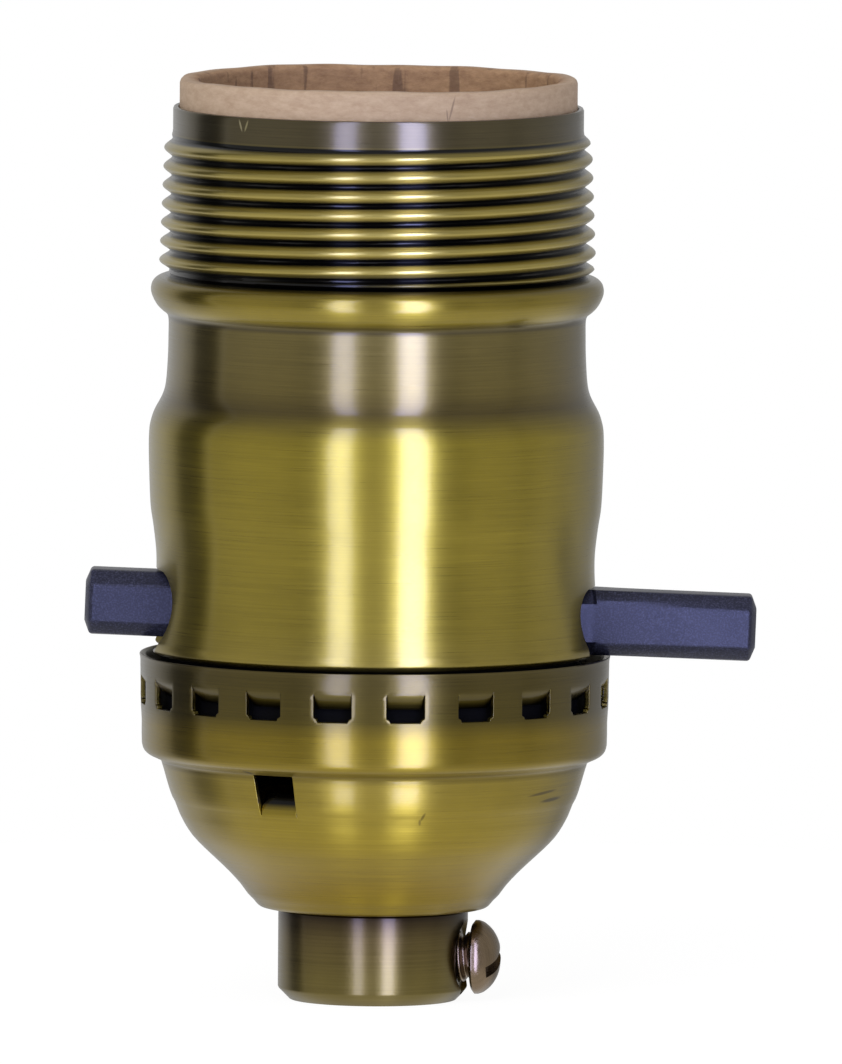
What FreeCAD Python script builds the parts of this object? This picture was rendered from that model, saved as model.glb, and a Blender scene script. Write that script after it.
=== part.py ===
import FreeCAD, Part

import math
import os

import Sketcher

# Push-through lamp holder with a threaded brass shell, a brass cap and a
# turned bushing with a set screw.  Millimetres, +Z up, the origin on the axis
# at the bushing's mouth, the push bar along X.

DRIVING_SIZES = [
    # the sheet-metal shell, from its lip down to the skirt inside the cap
    ("sheet_wall", 0.45, "thickness of the drawn brass"),
    ("lip_height", 2.1, "length of the plain lip"),
    ("shell_top", 69.2, "height of the lip's edge"),
    ("thread_step", 0.8, "how far the shade thread stands out from the lip"),
    ("thread_length", 10.9, "length of the shade thread"),
    ("bead_step", 0.84, "how far the rolled bead stands out from the thread"),
    ("bead_height", 3.1, "height of the rolled bead"),
    ("neck_step", 0.25, "how far the neck stands out from the lip"),
    ("neck_length", 5.1, "straight part of the neck"),
    ("shoulder_height", 5.2, "from the neck down to the barrel's widest ring"),
    ("barrel_step", 1.47, "how far the barrel's widest ring stands out from the neck"),
    ("waist_step", 0.64, "how far the waist is drawn in from that ring"),
    ("waist_height", 33.6, "height of the waist"),
    ("flare_setback", 0.18, "from the cap's band in to the flare above it"),
    ("rim_gap", 0.45, "from the cap's rim up to the flare's edge"),
    ("skirt_clearance", 0.78, "between the liner and the shell's skirt"),
    ("snap_bead", 0.65, "how far the skirt's snap bead stands out"),
    # the cap
    ("cap_rim_height", 26.8, "height of the cap's rim"),
    ("rim_flare", 0.17, "how far the cap's rim flares out from its band"),
    ("snap_clearance", 0.35, "between the snap bead and the cap's band"),
    ("cap_shelf_height", 19.2, "inside shelf that carries the interior"),
    ("bowl_setback", 1.65, "from the cap's band in to the top of its bowl"),
    ("bowl_top", 18.3, "height where the bowl starts"),
    ("cap_foot_radius", 8.9, "flat foot of the bowl"),
    ("window_count", 20, "lanced windows round the band"),
    ("window_turn", 7.7, "angle of the first window from +X, degrees"),
    ("window_width", 2.95, "width of a window"),
    ("window_height", 2.3, "height of a window"),
    ("window_drop", 1.6, "from the rim down to a window"),
    ("tongue_reach", 0.72, "how far a window's tongue bends in"),
    ("vent_turn", -118.4, "angle of the bowl's vent from +X, degrees"),
    ("vent_width", 3.2, "width of a vent in the bowl"),
    ("vent_height", 3.0, "height of a vent in the bowl"),
    # the turned bushing and its set screw
    ("bushing_radius", 7.34, "outside of the bushing"),
    ("bushing_height", 7.1, "height of the bushing below the cap"),
    ("bushing_chamfer", 0.9, "chamfer at the bushing's mouth"),
    ("nipple_radius", 4.6, "bore for the pipe nipple"),
    ("tenon_radius", 6.0, "tenon staked through the cap"),
    ("tenon_clearance", 0.05, "round the tenon"),
    ("stake_radius", 6.8, "staked collar inside the cap"),
    ("stake_height", 0.8, "height of the staked collar"),
    ("screw_height", 3.4, "height of the set screw"),
    ("screw_turn", -8.0, "angle of the set screw from +X, degrees"),
    ("screw_radius", 1.95, "shank of the set screw"),
    ("screw_clearance", 0.05, "round the set screw's shank"),
    ("screw_head_radius", 2.86, "head of the set screw"),
    ("screw_head_height", 2.15, "thickness of that head"),
    ("screw_stand_off", 1.05, "from the spot face out to the head"),
    ("spot_face_depth", 0.57, "depth of the spot face"),
    ("slot_width", 0.95, "width of a screwdriver slot"),
    ("slot_depth", 0.85, "depth of a screwdriver slot"),
    ("slot_turn", 26.0, "turn of the set screw's slot, degrees"),
    # the paper liner
    ("liner_clearance", 0.05, "between the shell and its liner"),
    ("liner_wall", 1.5, "thickness of the shell liner"),
    ("liner_stands_proud", 2.3, "how far the liner stands above the lip"),
    # the moulded interior
    ("block_clearance", 0.3, "between the liner and the moulded blocks"),
    ("flat_depth", 3.17, "how deep the flats for the terminals are cut"),
    ("block_rise", 8.55, "from the bar's axis up to the base block's top"),
    ("flange_height", 1.9, "flange held between the cap and the shell"),
    ("flange_clearance", 0.4, "between the flange and the cap's band"),
    ("cover_height", 7.9, "height of the switch cover"),
    ("seat_clearance", 0.05, "between stacked pieces"),
    # the push bar, its tilt and its travel
    ("bar_rise", 3.25, "from the cap's rim up to the bar's axis at the middle"),
    ("bar_tilt", 2.0, "how far the bar leans down to the right, degrees"),
    ("bar_offset", 3.5, "how far the bar stands to the right at rest"),
    ("bar_length", 52.0, "length of the bar"),
    ("bar_half", 2.52, "half the height and depth of a button"),
    ("bar_chamfer", 1.05, "chamfer on the bar's long edges"),
    ("button_length", 12.5, "length of each button"),
    ("bar_dome_radius", 5.5, "radius of the domed ends"),
    ("web_half", 2.2, "half the depth of the bar between the buttons"),
    ("bar_clearance", 0.1, "between the bar and its channel"),
    ("hole_clearance", 0.35, "between the bar and the shell's holes"),
    # the snap switch
    ("arch_radius", 12.5, "radius of the arch under the rocker"),
    ("rocker_lift", 4.45, "from the bar's axis up to the rocker's saddle"),
    ("rocker_rise", 1.85, "from the saddle up to the rocker's top"),
    ("rocker_pivot", 0.95, "from the saddle up to the rocker's pivot"),
    ("rocker_half_length", 4.5, "half the length of the rocker"),
    ("rocker_half_width", 1.7, "half the width of the rocker"),
    ("pivot_radius", 0.6, "rocker's trunnions"),
    ("pivot_clearance", 0.06, "round the trunnions"),
    ("contact_gap", 0.06, "between the closed contacts and under the saddle"),
    ("plunger_radius", 1.2, "plunger in the bar"),
    ("plunger_clearance", 0.05, "round the plunger"),
    ("spring_bore_depth", 4.2, "depth of the bore for the spring"),
    ("spring_wire", 0.32, "square wire of the spring"),
    ("spring_turns", 2, "turns of the spring"),
    ("strip", 0.5, "thickness of the contact strips"),
    # terminals and the lamp's contacts
    ("terminal_plate", 0.8, "thickness of a terminal plate"),
    ("terminal_half_width", 3.5, "half the width of a terminal plate"),
    ("terminal_height", 27.0, "height of the terminal screws"),
    ("terminal_head_radius", 3.0, "head of a terminal screw"),
    ("terminal_head_height", 1.9, "thickness of that head"),
    ("terminal_screw_radius", 1.7, "shank of a terminal screw"),
    ("strap_half_width", 2.2, "half the width of the straps"),
    ("screw_shell_radius", 13.25, "inside of the screw shell, at the thread's root"),
    ("screw_shell_clearance", 0.27, "between the screw shell and the liner"),
    ("screw_shell_height", 17.1, "height of the screw shell"),
    ("screw_shell_wall", 0.35, "thickness of the screw shell"),
    ("floor_width", 5.75, "width of the screw shell's floor round its hole"),
    ("centre_contact_rise", 4.0, "height of the centre contact's tip"),
    ("rivet_offset", 4.6, "from the axis to the centre contact's rivet"),
    ("rivet_radius", 0.9, "shank of that rivet"),
    ("fastener_inset", 3.6, "from the screw shell's inside in to an assembly screw"),
    ("fastener_turn", 40.0, "angle of the assembly screws from X, degrees"),
    ("fastener_radius", 1.3, "shank of an assembly screw"),
    ("fastener_head", 2.1, "head of an assembly screw"),
]


class Size:
    """A number together with the expression that works it out in the sheet."""

    def __init__(self, number, text=None):
        self.number = float(number)
        self.text = text or repr(float(number))

    def join(self, other, sign, number):
        return Size(number, f"({self.text} {sign} {as_size(other).text})")

    def __add__(self, other):
        return self.join(other, "+", self.number + as_size(other).number)

    def __sub__(self, other):
        return self.join(other, "-", self.number - as_size(other).number)

    def __mul__(self, other):
        return self.join(other, "*", self.number * as_size(other).number)

    def __truediv__(self, other):
        return self.join(other, "/", self.number / as_size(other).number)

    def __radd__(self, other):
        return as_size(other) + self

    def __rsub__(self, other):
        return as_size(other) - self

    def __rmul__(self, other):
        return as_size(other) * self

    def __rtruediv__(self, other):
        return as_size(other) / self

    def __neg__(self):
        return Size(-self.number, f"(-{self.text})")


def as_size(value):
    return value if isinstance(value, Size) else Size(value)


def tangent(angle):
    return Size(math.tan(math.radians(angle.number)), f"tan({angle.text})")


def cosine(angle):
    return Size(math.cos(math.radians(angle.number)), f"cos({angle.text})")


def sine(angle):
    return Size(math.sin(math.radians(angle.number)), f"sin({angle.text})")


def root(value):
    return Size(math.sqrt(value.number), f"sqrt({value.text})")


class Named:
    """Every driving size under its own name."""


doc = FreeCAD.newDocument("lamp_holder")
sheet = doc.addObject("Spreadsheet::Sheet", "Sizes")
size = Named()
for row, (alias, number, note) in enumerate(DRIVING_SIZES, 1):
    sheet.set(f"A{row}", note)
    sheet.set(f"B{row}", str(number))
    sheet.setAlias(f"B{row}", alias)
    setattr(size, alias, Size(number, f"Sizes.{alias}"))
doc.recompute()

SUB_PARTS = []


# ---------------------------------------------------------------- helpers

def bind(item, prop, value):
    """Tie one property of a document object to the sheet."""
    item.setExpression(prop, as_size(value).text)


def keep(item, node):
    """Name a finished sub-part after its file."""
    item.Label = node
    SUB_PARTS.append(item)
    return item


def new_body(name):
    return doc.addObject("PartDesign::Body", name)


def origin_plane(body, role):
    return next(part for part in body.Origin.OriginFeatures if part.Role == role)


def pin_point(sketch, edge, corner, x, y):
    """Hold one end of an edge at x, y from the sketch's origin."""
    for value, kind, axis in ((x, "DistanceX", -2), (y, "DistanceY", -1)):
        if value.number == 0:
            sketch.addConstraint(Sketcher.Constraint("PointOnObject", edge, corner, axis))
            continue
        ends = (-1, 1, edge, corner) if value.number > 0 else (edge, corner, -1, 1)
        length = value if value.number > 0 else -value
        index = sketch.addConstraint(Sketcher.Constraint(kind, *ends, length.number))
        sketch.setExpression(f"Constraints[{index}]", length.text)


def arc_through(start, end, radius):
    """Arc from start to end; a positive radius turns left, a negative one right."""
    chord = end - start
    left = FreeCAD.Vector(-chord.y, chord.x, 0).normalize()
    rise = abs(radius) - math.sqrt(radius ** 2 - (chord.Length / 2) ** 2)
    middle = (start + end) / 2 - left * math.copysign(rise, radius)
    return Part.Arc(start, middle, end)


def outline(body, name, role, corners, lift=None):
    """Closed sketch through corners (x, y); (x, y, radius) arrives on an arc."""
    sketch = body.newObject("Sketcher::SketchObject", name)
    sketch.AttachmentSupport = [(origin_plane(body, role), "")]
    sketch.MapMode = "FlatFace"
    if lift is not None:
        bind(sketch, "AttachmentOffset.Base.z", lift)
    corners = [tuple(as_size(value) for value in corner) for corner in corners]
    points = [FreeCAD.Vector(corner[0].number, corner[1].number, 0) for corner in corners]
    count = len(corners)
    ends = []
    for index in range(count):
        following = (index + 1) % count
        bend = corners[following][2].number if len(corners[following]) == 3 else 0
        if bend:
            edge = arc_through(points[index], points[following], bend)
        else:
            edge = Part.LineSegment(points[index], points[following])
        sketch.addGeometry(edge, False)
        # A sketch keeps every arc anticlockwise, so a right-hand one runs backwards.
        ends.append((2, 1) if bend < 0 else (1, 2))
    for index in range(count):
        following = (index + 1) % count
        link = (index, ends[index][1], following, ends[following][0])
        sketch.addConstraint(Sketcher.Constraint("Coincident", *link))
    for index, corner in enumerate(corners):
        pin_point(sketch, index, ends[index][0], corner[0], corner[1])
        if len(corner) == 3:
            edge = (index - 1) % count
            radius = Size(abs(corner[2].number), f"abs({corner[2].text})")
            bend = sketch.addConstraint(Sketcher.Constraint("Radius", edge, radius.number))
            sketch.setExpression(f"Constraints[{bend}]", radius.text)
    return sketch


def turned(body, name, corners, axis="V_Axis"):
    """Revolve an outline in the XZ plane about the body's Z axis (or X axis)."""
    sketch = outline(body, name + "_outline", "XZ_Plane", corners)
    solid = body.newObject("PartDesign::Revolution", name)
    solid.Profile = sketch
    solid.ReferenceAxis = (sketch, [axis])
    solid.Angle = 360
    sketch.Visibility = False
    return solid


def folded(body, name, corners, width, role="XZ_Plane", kind="PartDesign::Pad"):
    """Pad (or pocket) an outline by half the width to each side of its plane."""
    sketch = outline(body, name + "_outline", role, corners)
    solid = body.newObject(kind, name)
    solid.Profile = sketch
    solid.SideType = "Symmetric"
    bind(solid, "Length", width)
    return solid


def box(name, x_range, y_range, z_range):
    """Part::Box between three pairs of limits."""
    item = doc.addObject("Part::Box", name)
    for (low, high), length, place in zip(
            (x_range, y_range, z_range), ("Length", "Width", "Height"), "xyz"):
        bind(item, length, as_size(high) - low)
        bind(item, f"Placement.Base.{place}", low)
    return item


AXIS_TURNS = {
    "x": FreeCAD.Rotation(FreeCAD.Vector(0, 1, 0), 90),
    "y": FreeCAD.Rotation(FreeCAD.Vector(1, 0, 0), -90),
    "z": FreeCAD.Rotation(),
}


def rod(name, radius, start, length, along="z"):
    """Part::Cylinder from a start point along one axis."""
    item = doc.addObject("Part::Cylinder", name)
    item.Placement = FreeCAD.Placement(FreeCAD.Vector(), AXIS_TURNS[along])
    bind(item, "Radius", radius)
    bind(item, "Height", length)
    for value, place in zip(start, "xyz"):
        bind(item, f"Placement.Base.{place}", value)
    return item


def joined(name, items):
    item = doc.addObject("Part::MultiFuse", name)
    item.Shapes = items
    return item


def cut(name, base, tool):
    item = doc.addObject("Part::Cut", name)
    item.Base = base
    item.Tool = tool
    return item


def grouped(name, items):
    item = doc.addObject("Part::Compound", name)
    item.Links = items
    return item


def lean(item):
    """Place something built along the push bar's own axis at the bar's tilt."""
    item.Placement = FreeCAD.Placement(FreeCAD.Vector(), FreeCAD.Rotation(FreeCAD.Vector(0, 1, 0), 1))
    bind(item, "Placement.Base.z", bar_height)
    bind(item, "Placement.Rotation.Angle", size.bar_tilt)
    return item


def face_screw(item):
    """Place something built along +X at the set screw's height and angle."""
    item.Placement = FreeCAD.Placement(FreeCAD.Vector(), FreeCAD.Rotation(FreeCAD.Vector(0, 0, 1), 1))
    bind(item, "Placement.Base.z", size.screw_height)
    bind(item, "Placement.Rotation.Angle", size.screw_turn)
    return item


def octagon(half_depth, half_height, chamfer):
    """Corners of a bar's section in the YZ plane."""
    deep = half_depth - chamfer
    tall = half_height - chamfer
    return [
        (deep, -half_height), (half_depth, -tall), (half_depth, tall), (deep, half_height),
        (-deep, half_height), (-half_depth, tall), (-half_depth, -tall), (-deep, -half_height),
    ]


def prism(name, section, start, end):
    """Body of one section in the YZ plane, from start to end along X."""
    body = new_body(name)
    sketch = outline(body, name + "_section", "YZ_Plane", section, lift=start)
    solid = body.newObject("PartDesign::Pad", name + "_pad")
    solid.Profile = sketch
    bind(solid, "Length", as_size(end) - start)
    return body


# Sizes that several pieces share.  The radii grow outward from the lamp's
# screw shell: liner, lip, neck, thread and bead, then skirt, cap and flare.
wall = size.sheet_wall
overcut = wall * 2
screw_shell_outer = size.screw_shell_radius + size.screw_shell_wall
liner_inner = screw_shell_outer + size.screw_shell_clearance
liner_outer = liner_inner + size.liner_wall
lip_inside = liner_outer + size.liner_clearance
lip_radius = lip_inside + wall
thread_radius = lip_radius + size.thread_step
bead_radius = thread_radius + size.bead_step
neck_radius = lip_radius + size.neck_step
barrel_radius = neck_radius + size.barrel_step
waist_radius = barrel_radius - size.waist_step
skirt_inside = liner_outer + size.skirt_clearance
skirt_radius = skirt_inside + wall
snap_radius = skirt_radius + size.snap_bead
cap_inside = snap_radius + size.snap_clearance
cap_band_radius = cap_inside + wall
cap_rim_radius = cap_band_radius + size.rim_flare
flare_radius = cap_band_radius - size.flare_setback
bowl_radius = cap_band_radius - size.bowl_setback
block_radius = liner_inner - size.block_clearance
block_flat = block_radius - size.flat_depth

bar_height = size.cap_rim_height + size.bar_rise
block_top = bar_height + size.block_rise
flare_bottom = size.cap_rim_height + size.rim_gap
skirt_bottom = size.cap_shelf_height + size.flange_height + size.seat_clearance
thread_top = size.shell_top - size.lip_height
thread_bottom = thread_top - size.thread_length
bead_bottom = thread_bottom - size.bead_height
neck_bottom = bead_bottom - size.neck_length
barrel_top = neck_bottom - size.shoulder_height
cover_bottom = block_top + size.seat_clearance
cover_top = cover_bottom + size.cover_height
bar_left = size.bar_offset - size.bar_length / 2
bar_right = size.bar_offset + size.bar_length / 2
stop = size.bar_length / 2 - size.button_length - size.bar_offset
reach = size.bar_length


# ---------------------------------------------------------------- shell
# Drawn and rolled brass: plain lip, band for the shade thread, rolled bead,
# neck, shoulder, barrel, waist and flare, then a narrower skirt whose foot
# snaps under the cap's tongues.  The bar passes through two octagonal holes.

barrel_inside = barrel_radius - wall * 1.3
swell = barrel_radius - neck_radius
skirt_top = size.cap_rim_height - wall
snap_top = skirt_bottom + size.snap_bead * 2

shell_blank = new_body("shell_blank")
turned(shell_blank, "shell_wall", [
    (lip_inside, size.shell_top),
    (lip_inside, neck_bottom),
    (barrel_inside, barrel_top),
    (skirt_inside, skirt_top),
    (skirt_inside, skirt_bottom),
    (snap_radius, skirt_bottom),
    (snap_radius, snap_top),
    (skirt_radius, snap_top),
    (skirt_radius, skirt_top),
    (flare_radius, flare_bottom),
    (waist_radius, size.waist_height),
    (barrel_radius, barrel_top),
    (neck_radius + swell * 0.82, barrel_top + size.shoulder_height * 0.48),
    (neck_radius, neck_bottom),
    (neck_radius, bead_bottom),
    (bead_radius, bead_bottom + size.bead_height * 0.42),
    (bead_radius, bead_bottom + size.bead_height * 0.75),
    (thread_radius, thread_bottom),
    (thread_radius, thread_top),
    (lip_radius, thread_top),
    (lip_radius, size.shell_top),
])
hole_half = size.bar_half + size.hole_clearance
bar_hole = prism("bar_hole", octagon(hole_half, hole_half, size.bar_chamfer), -reach, reach)
shell = keep(cut("shell_cut", shell_blank, lean(bar_hole)), "shell")

# The paper tube inside the shell stands proud of the lip; it is notched from
# below so that it can be pushed down over the bar.
liner_blank = new_body("liner_blank")
turned(liner_blank, "liner_tube", [
    (liner_inner, skirt_bottom), (liner_outer, skirt_bottom),
    (liner_outer, size.shell_top + size.liner_stands_proud),
    (liner_inner, size.shell_top + size.liner_stands_proud),
])
notch_top = bar_height + tangent(size.bar_tilt) * liner_outer + hole_half
liner_notch = box("liner_notch", (-reach, reach), (-hole_half, hole_half),
                  (size.cap_shelf_height - overcut, notch_top))
keep(cut("liner_cut", liner_blank, liner_notch), "shell_liner")


# ---------------------------------------------------------------- cap
# Drawn brass cup: flared rim, band with lanced windows, inside shelf, bowl
# with two vents and a flat foot staked to the bushing.

bowl_inside = bowl_radius - wall
foot_top = size.bushing_height + wall
bowl_rise = size.bowl_top - size.bushing_height
bowl_step = bowl_radius - size.cap_foot_radius
window_top = size.cap_rim_height - size.window_drop
window_bottom = window_top - size.window_height

cap = new_body("cap_body")
turned(cap, "cap_wall", [
    (size.tenon_radius + size.tenon_clearance, size.bushing_height),
    (size.cap_foot_radius, size.bushing_height),
    (size.cap_foot_radius + bowl_step * 0.11, size.bushing_height + bowl_rise * 0.09),
    (size.cap_foot_radius + bowl_step * 0.65, size.bushing_height + bowl_rise * 0.47),
    (size.cap_foot_radius + bowl_step * 0.88, size.bushing_height + bowl_rise * 0.73),
    (bowl_radius, size.bowl_top),
    (cap_band_radius, size.cap_shelf_height + wall / 2),
    (cap_band_radius, size.cap_rim_height - wall * 2),
    (cap_rim_radius, size.cap_rim_height),
    (cap_inside, size.cap_rim_height),
    (cap_inside, size.cap_shelf_height),
    (bowl_inside, size.cap_shelf_height),
    (size.cap_foot_radius + bowl_step * 0.65 - wall, size.bushing_height + bowl_rise * 0.51),
    (size.cap_foot_radius - wall, foot_top),
    (size.tenon_radius + size.tenon_clearance, foot_top),
])

window = folded(cap, "window", [
    (cap_inside - wall, window_bottom), (cap_rim_radius + wall, window_bottom),
    (cap_rim_radius + wall, window_top), (cap_inside - wall, window_top),
], size.window_width, kind="PartDesign::Pocket")
tongue_bottom = window_top - size.window_height * 0.6
tongue_root = wall / 8
tongue = folded(cap, "window_tongue", [
    (cap_inside + tongue_root, window_top + wall),
    (cap_inside - size.tongue_reach, tongue_bottom),
    (cap_inside - size.tongue_reach + wall, tongue_bottom),
    (cap_band_radius - tongue_root, window_top + wall),
], size.window_width - wall / 2)
windows = cap.newObject("PartDesign::PolarPattern", "windows")
windows.Originals = [window, tongue]
windows.Axis = (origin_plane(cap, "Z_Axis"), [""])
windows.Angle = 360
bind(windows, "Occurrences", size.window_count)
cap.Tip = windows
bind(cap, "Placement.Rotation.Angle", size.window_turn)

vent_bottom = size.bowl_top - size.vent_height
vent_wall = bowl_radius - bowl_step * 0.18
vent_half = size.vent_width / 2


def around(name, items, turn):
    """Group pieces built at +X and swing them about Z."""
    group = joined(name, items) if len(items) > 1 else grouped(name, items)
    group.Placement = FreeCAD.Placement(FreeCAD.Vector(), FreeCAD.Rotation(FreeCAD.Vector(0, 0, 1), 1))
    bind(group, "Placement.Rotation.Angle", turn)
    return group


openings = []
flaps = []
for side in (0, 180):
    opening = box(f"vent_opening_{side}", (vent_wall - wall * 5, bowl_radius + wall),
                  (-vent_half, vent_half), (vent_bottom, size.bowl_top))
    flap = new_body(f"vent_flap_{side}")
    folded(flap, f"vent_fold_{side}", [
        (vent_wall - wall, vent_bottom - wall),
        (vent_wall - wall / 3, vent_bottom - wall),
        (vent_wall - wall * 2.2, vent_bottom + size.vent_height / 2),
        (vent_wall - wall * 3.2, vent_bottom + size.vent_height / 2),
    ], size.vent_width - wall / 2)
    openings.append(around(f"vent_{side}", [opening], size.vent_turn + side))
    flaps.append(around(f"flap_{side}", [flap], size.vent_turn + side))
cap_open = cut("cap_open", cap, joined("vent_openings", openings))
keep(joined("cap_with_flaps", [cap_open] + flaps), "cap")


# ---------------------------------------------------------------- bushing
# Turned brass, chamfered at its mouth, its tenon staked over inside the cap.
# The set screw's hole is spot faced.

bushing_blank = new_body("bushing_blank")
turned(bushing_blank, "bushing_turning", [
    (size.nipple_radius, 0),
    (size.bushing_radius - size.bushing_chamfer, 0),
    (size.bushing_radius, size.bushing_chamfer),
    (size.bushing_radius, size.bushing_height),
    (size.tenon_radius, size.bushing_height),
    (size.tenon_radius, foot_top),
    (size.stake_radius, foot_top),
    (size.stake_radius, foot_top + size.stake_height),
    (size.nipple_radius, foot_top + size.stake_height),
])
spot_face = size.bushing_radius - size.spot_face_depth
screw_hole = rod("screw_hole", size.screw_radius + size.screw_clearance, (0, 0, 0),
                 size.bushing_radius * 2, "x")
spot_cutter = rod("spot_cutter", size.screw_head_radius, (spot_face, 0, 0),
                  size.bushing_radius, "x")
drilled = face_screw(joined("screw_drilling", [screw_hole, spot_cutter]))
keep(cut("bushing_cut", bushing_blank, drilled), "cap_bushing")

head_start = spot_face + size.screw_stand_off
head_end = head_start + size.screw_head_height
head_edge = size.screw_head_height / 4
screw_blank = new_body("set_screw_blank")
turned(screw_blank, "set_screw_turning", [
    (size.nipple_radius + size.seat_clearance * 3, 0),
    (head_end, 0),
    (head_end, size.screw_head_radius - head_edge * 3),
    (head_end - head_edge, size.screw_head_radius - head_edge),
    (head_start + head_edge, size.screw_head_radius),
    (head_start, size.screw_head_radius - head_edge / 2),
    (head_start, size.screw_radius),
    (size.nipple_radius + size.seat_clearance * 3, size.screw_radius),
], axis="H_Axis")
slot = box("set_screw_slot", (head_end - size.slot_depth, head_end + size.slot_depth),
           (-size.screw_head_radius * 2, size.screw_head_radius * 2),
           (-size.slot_width / 2, size.slot_width / 2))
turned_slot = grouped("set_screw_slot_turned", [slot])
turned_slot.Placement = FreeCAD.Placement(FreeCAD.Vector(), FreeCAD.Rotation(FreeCAD.Vector(1, 0, 0), 1))
bind(turned_slot, "Placement.Rotation.Angle", size.slot_turn)
keep(face_screw(cut("set_screw_cut", screw_blank, turned_slot)), "set_screw")


# ---------------------------------------------------------------- interior
# Two phenolic blocks inside the liner.  The base block is held by its flange
# between the cap's shelf and the shell's edge; it guides the bar, holds the
# snap switch and carries the terminals on two flats.

flange_radius = cap_inside - size.flange_clearance
flange_bottom = size.cap_shelf_height + size.seat_clearance
flange_top = size.cap_shelf_height + size.flange_height
block_blank = new_body("block_blank")
turned(block_blank, "block_turning", [
    (0, flange_bottom), (flange_radius, flange_bottom), (flange_radius, flange_top),
    (block_radius, flange_top), (block_radius, block_top), (0, block_top),
])

fastener_ring = size.screw_shell_radius - size.fastener_inset
fastener_x = fastener_ring * cosine(size.fastener_turn)
fastener_y = fastener_ring * sine(size.fastener_turn)
floor_hole_radius = size.screw_shell_radius - size.floor_width
channel_half = size.bar_half + size.bar_clearance
guide_half = size.web_half + size.bar_clearance
bar_channel = [
    box("web_channel", (-stop, stop), (-guide_half, guide_half), (-channel_half, channel_half)),
    box("left_pocket", (-reach, -stop), (-channel_half, channel_half), (-channel_half, channel_half)),
    box("right_pocket", (stop, reach), (-channel_half, channel_half), (-channel_half, channel_half)),
]
chamber_half = size.rocker_half_width + size.strip * 2 + size.bar_clearance * 4
chamber_left = -(size.rocker_half_length + size.bar_clearance * 10)
chamber_right = size.rivet_offset + size.strip * 4
bar_channel.append(box("switch_chamber", (chamber_left, chamber_right),
                       (-chamber_half, chamber_half), (0, block_top)))
moulded_hollow = lean(joined("moulded_hollow", bar_channel))


def flats(name, bottom, top):
    """Cutters that leave a moulded block flat on both sides."""
    span = (bottom - overcut, top + overcut)
    near = box(name + "_near", (-reach, reach), (-reach, -block_flat), span)
    far = box(name + "_far", (-reach, reach), (block_flat, reach), span)
    return [near, far]


def fastener_rods(name, radius, bottom, top):
    """The two assembly screws' shanks or their holes, on opposite corners."""
    return [
        rod(f"{name}_{index}", radius, (fastener_x * side, -fastener_y * side, bottom),
            top - bottom)
        for index, side in enumerate((1, -1), 1)
    ]


fastener_bottom = flange_top + size.fastener_head
hole_radius = size.fastener_radius + size.seat_clearance
terminal_seat = block_flat - size.terminal_screw_radius * 2.6
terminal_hole = size.terminal_screw_radius + size.seat_clearance
terminal_holes = rod("terminal_hole_near", terminal_hole,
                     (0, -block_flat * 2, size.terminal_height),
                     block_flat * 2 - terminal_seat, "y")
terminal_holes_far = rod("terminal_hole_far", terminal_hole,
                         (0, terminal_seat, size.terminal_height), block_flat, "y")
block_tools = flats("block_flat", flange_bottom, block_top)
block_tools += fastener_rods("block_hole", hole_radius, fastener_bottom, block_top + overcut)
block_tools += [moulded_hollow, terminal_holes, terminal_holes_far]
keep(cut("block_cut", block_blank, joined("block_tools", block_tools)), "base_block")

cover_blank = rod("cover_blank", block_radius, (0, 0, cover_bottom), size.cover_height)
strap_slot = size.strip + size.seat_clearance * 2
strap_gap = size.strap_half_width + size.bar_clearance
cover_tools = flats("cover_flat", cover_bottom, cover_top)
cover_tools += fastener_rods("cover_hole", hole_radius, cover_bottom - overcut, cover_top + overcut)
cover_tools.append(box("line_strap_slot", (-strap_gap, strap_gap), (-reach, strap_gap),
                       (cover_bottom - overcut, block_top + strap_slot)))
cover_tools.append(box("neutral_strap_slot", (-strap_gap, strap_gap),
                       (floor_hole_radius, reach), (cover_top - strap_slot, cover_top + overcut)))
cover_tools.append(rod("rivet_hole", size.rivet_radius + size.seat_clearance,
                       (size.rivet_offset, 0, cover_bottom - overcut), size.cover_height + overcut * 2))
keep(cut("cover_cut", cover_blank, joined("cover_tools", cover_tools)), "switch_cover")


# ---------------------------------------------------------------- push bar
# Moulded octagonal bar, narrower between its two buttons, with domed ends and
# a blind bore for the spring and plunger.  Built along X on its own axis.

button = octagon(size.bar_half, size.bar_half, size.bar_chamfer)
web = octagon(size.web_half, size.bar_half, size.bar_chamfer)
left_shoulder = bar_left + size.button_length
right_shoulder = bar_right - size.button_length
bar_sticks = joined("bar_sticks", [
    prism("left_button", button, bar_left, left_shoulder),
    prism("bar_web", web, left_shoulder, right_shoulder),
    prism("right_button", button, right_shoulder, bar_right),
])
dome_left = doc.addObject("Part::Sphere", "dome_left")
dome_right = doc.addObject("Part::Sphere", "dome_right")
for dome, place in ((dome_left, bar_left + size.bar_dome_radius),
                    (dome_right, bar_right - size.bar_dome_radius)):
    bind(dome, "Radius", size.bar_dome_radius)
    bind(dome, "Placement.Base.x", place)
between_domes = rod("between_domes", size.bar_dome_radius,
                    (bar_left + size.bar_dome_radius, 0, 0),
                    size.bar_length - size.bar_dome_radius * 2, "x")
bar_ends = joined("bar_ends", [dome_left, between_domes, dome_right])
domed_bar = doc.addObject("Part::Common", "domed_bar")
domed_bar.Base = bar_sticks
domed_bar.Tool = bar_ends
bore_radius = size.plunger_radius + size.plunger_clearance
bore_bottom = size.bar_half - size.spring_bore_depth
spring_bore = rod("spring_bore", bore_radius, (size.bar_offset, 0, bore_bottom),
                  size.spring_bore_depth * 2)
keep(lean(cut("bar_cut", domed_bar, spring_bore)), "push_bar")

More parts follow.
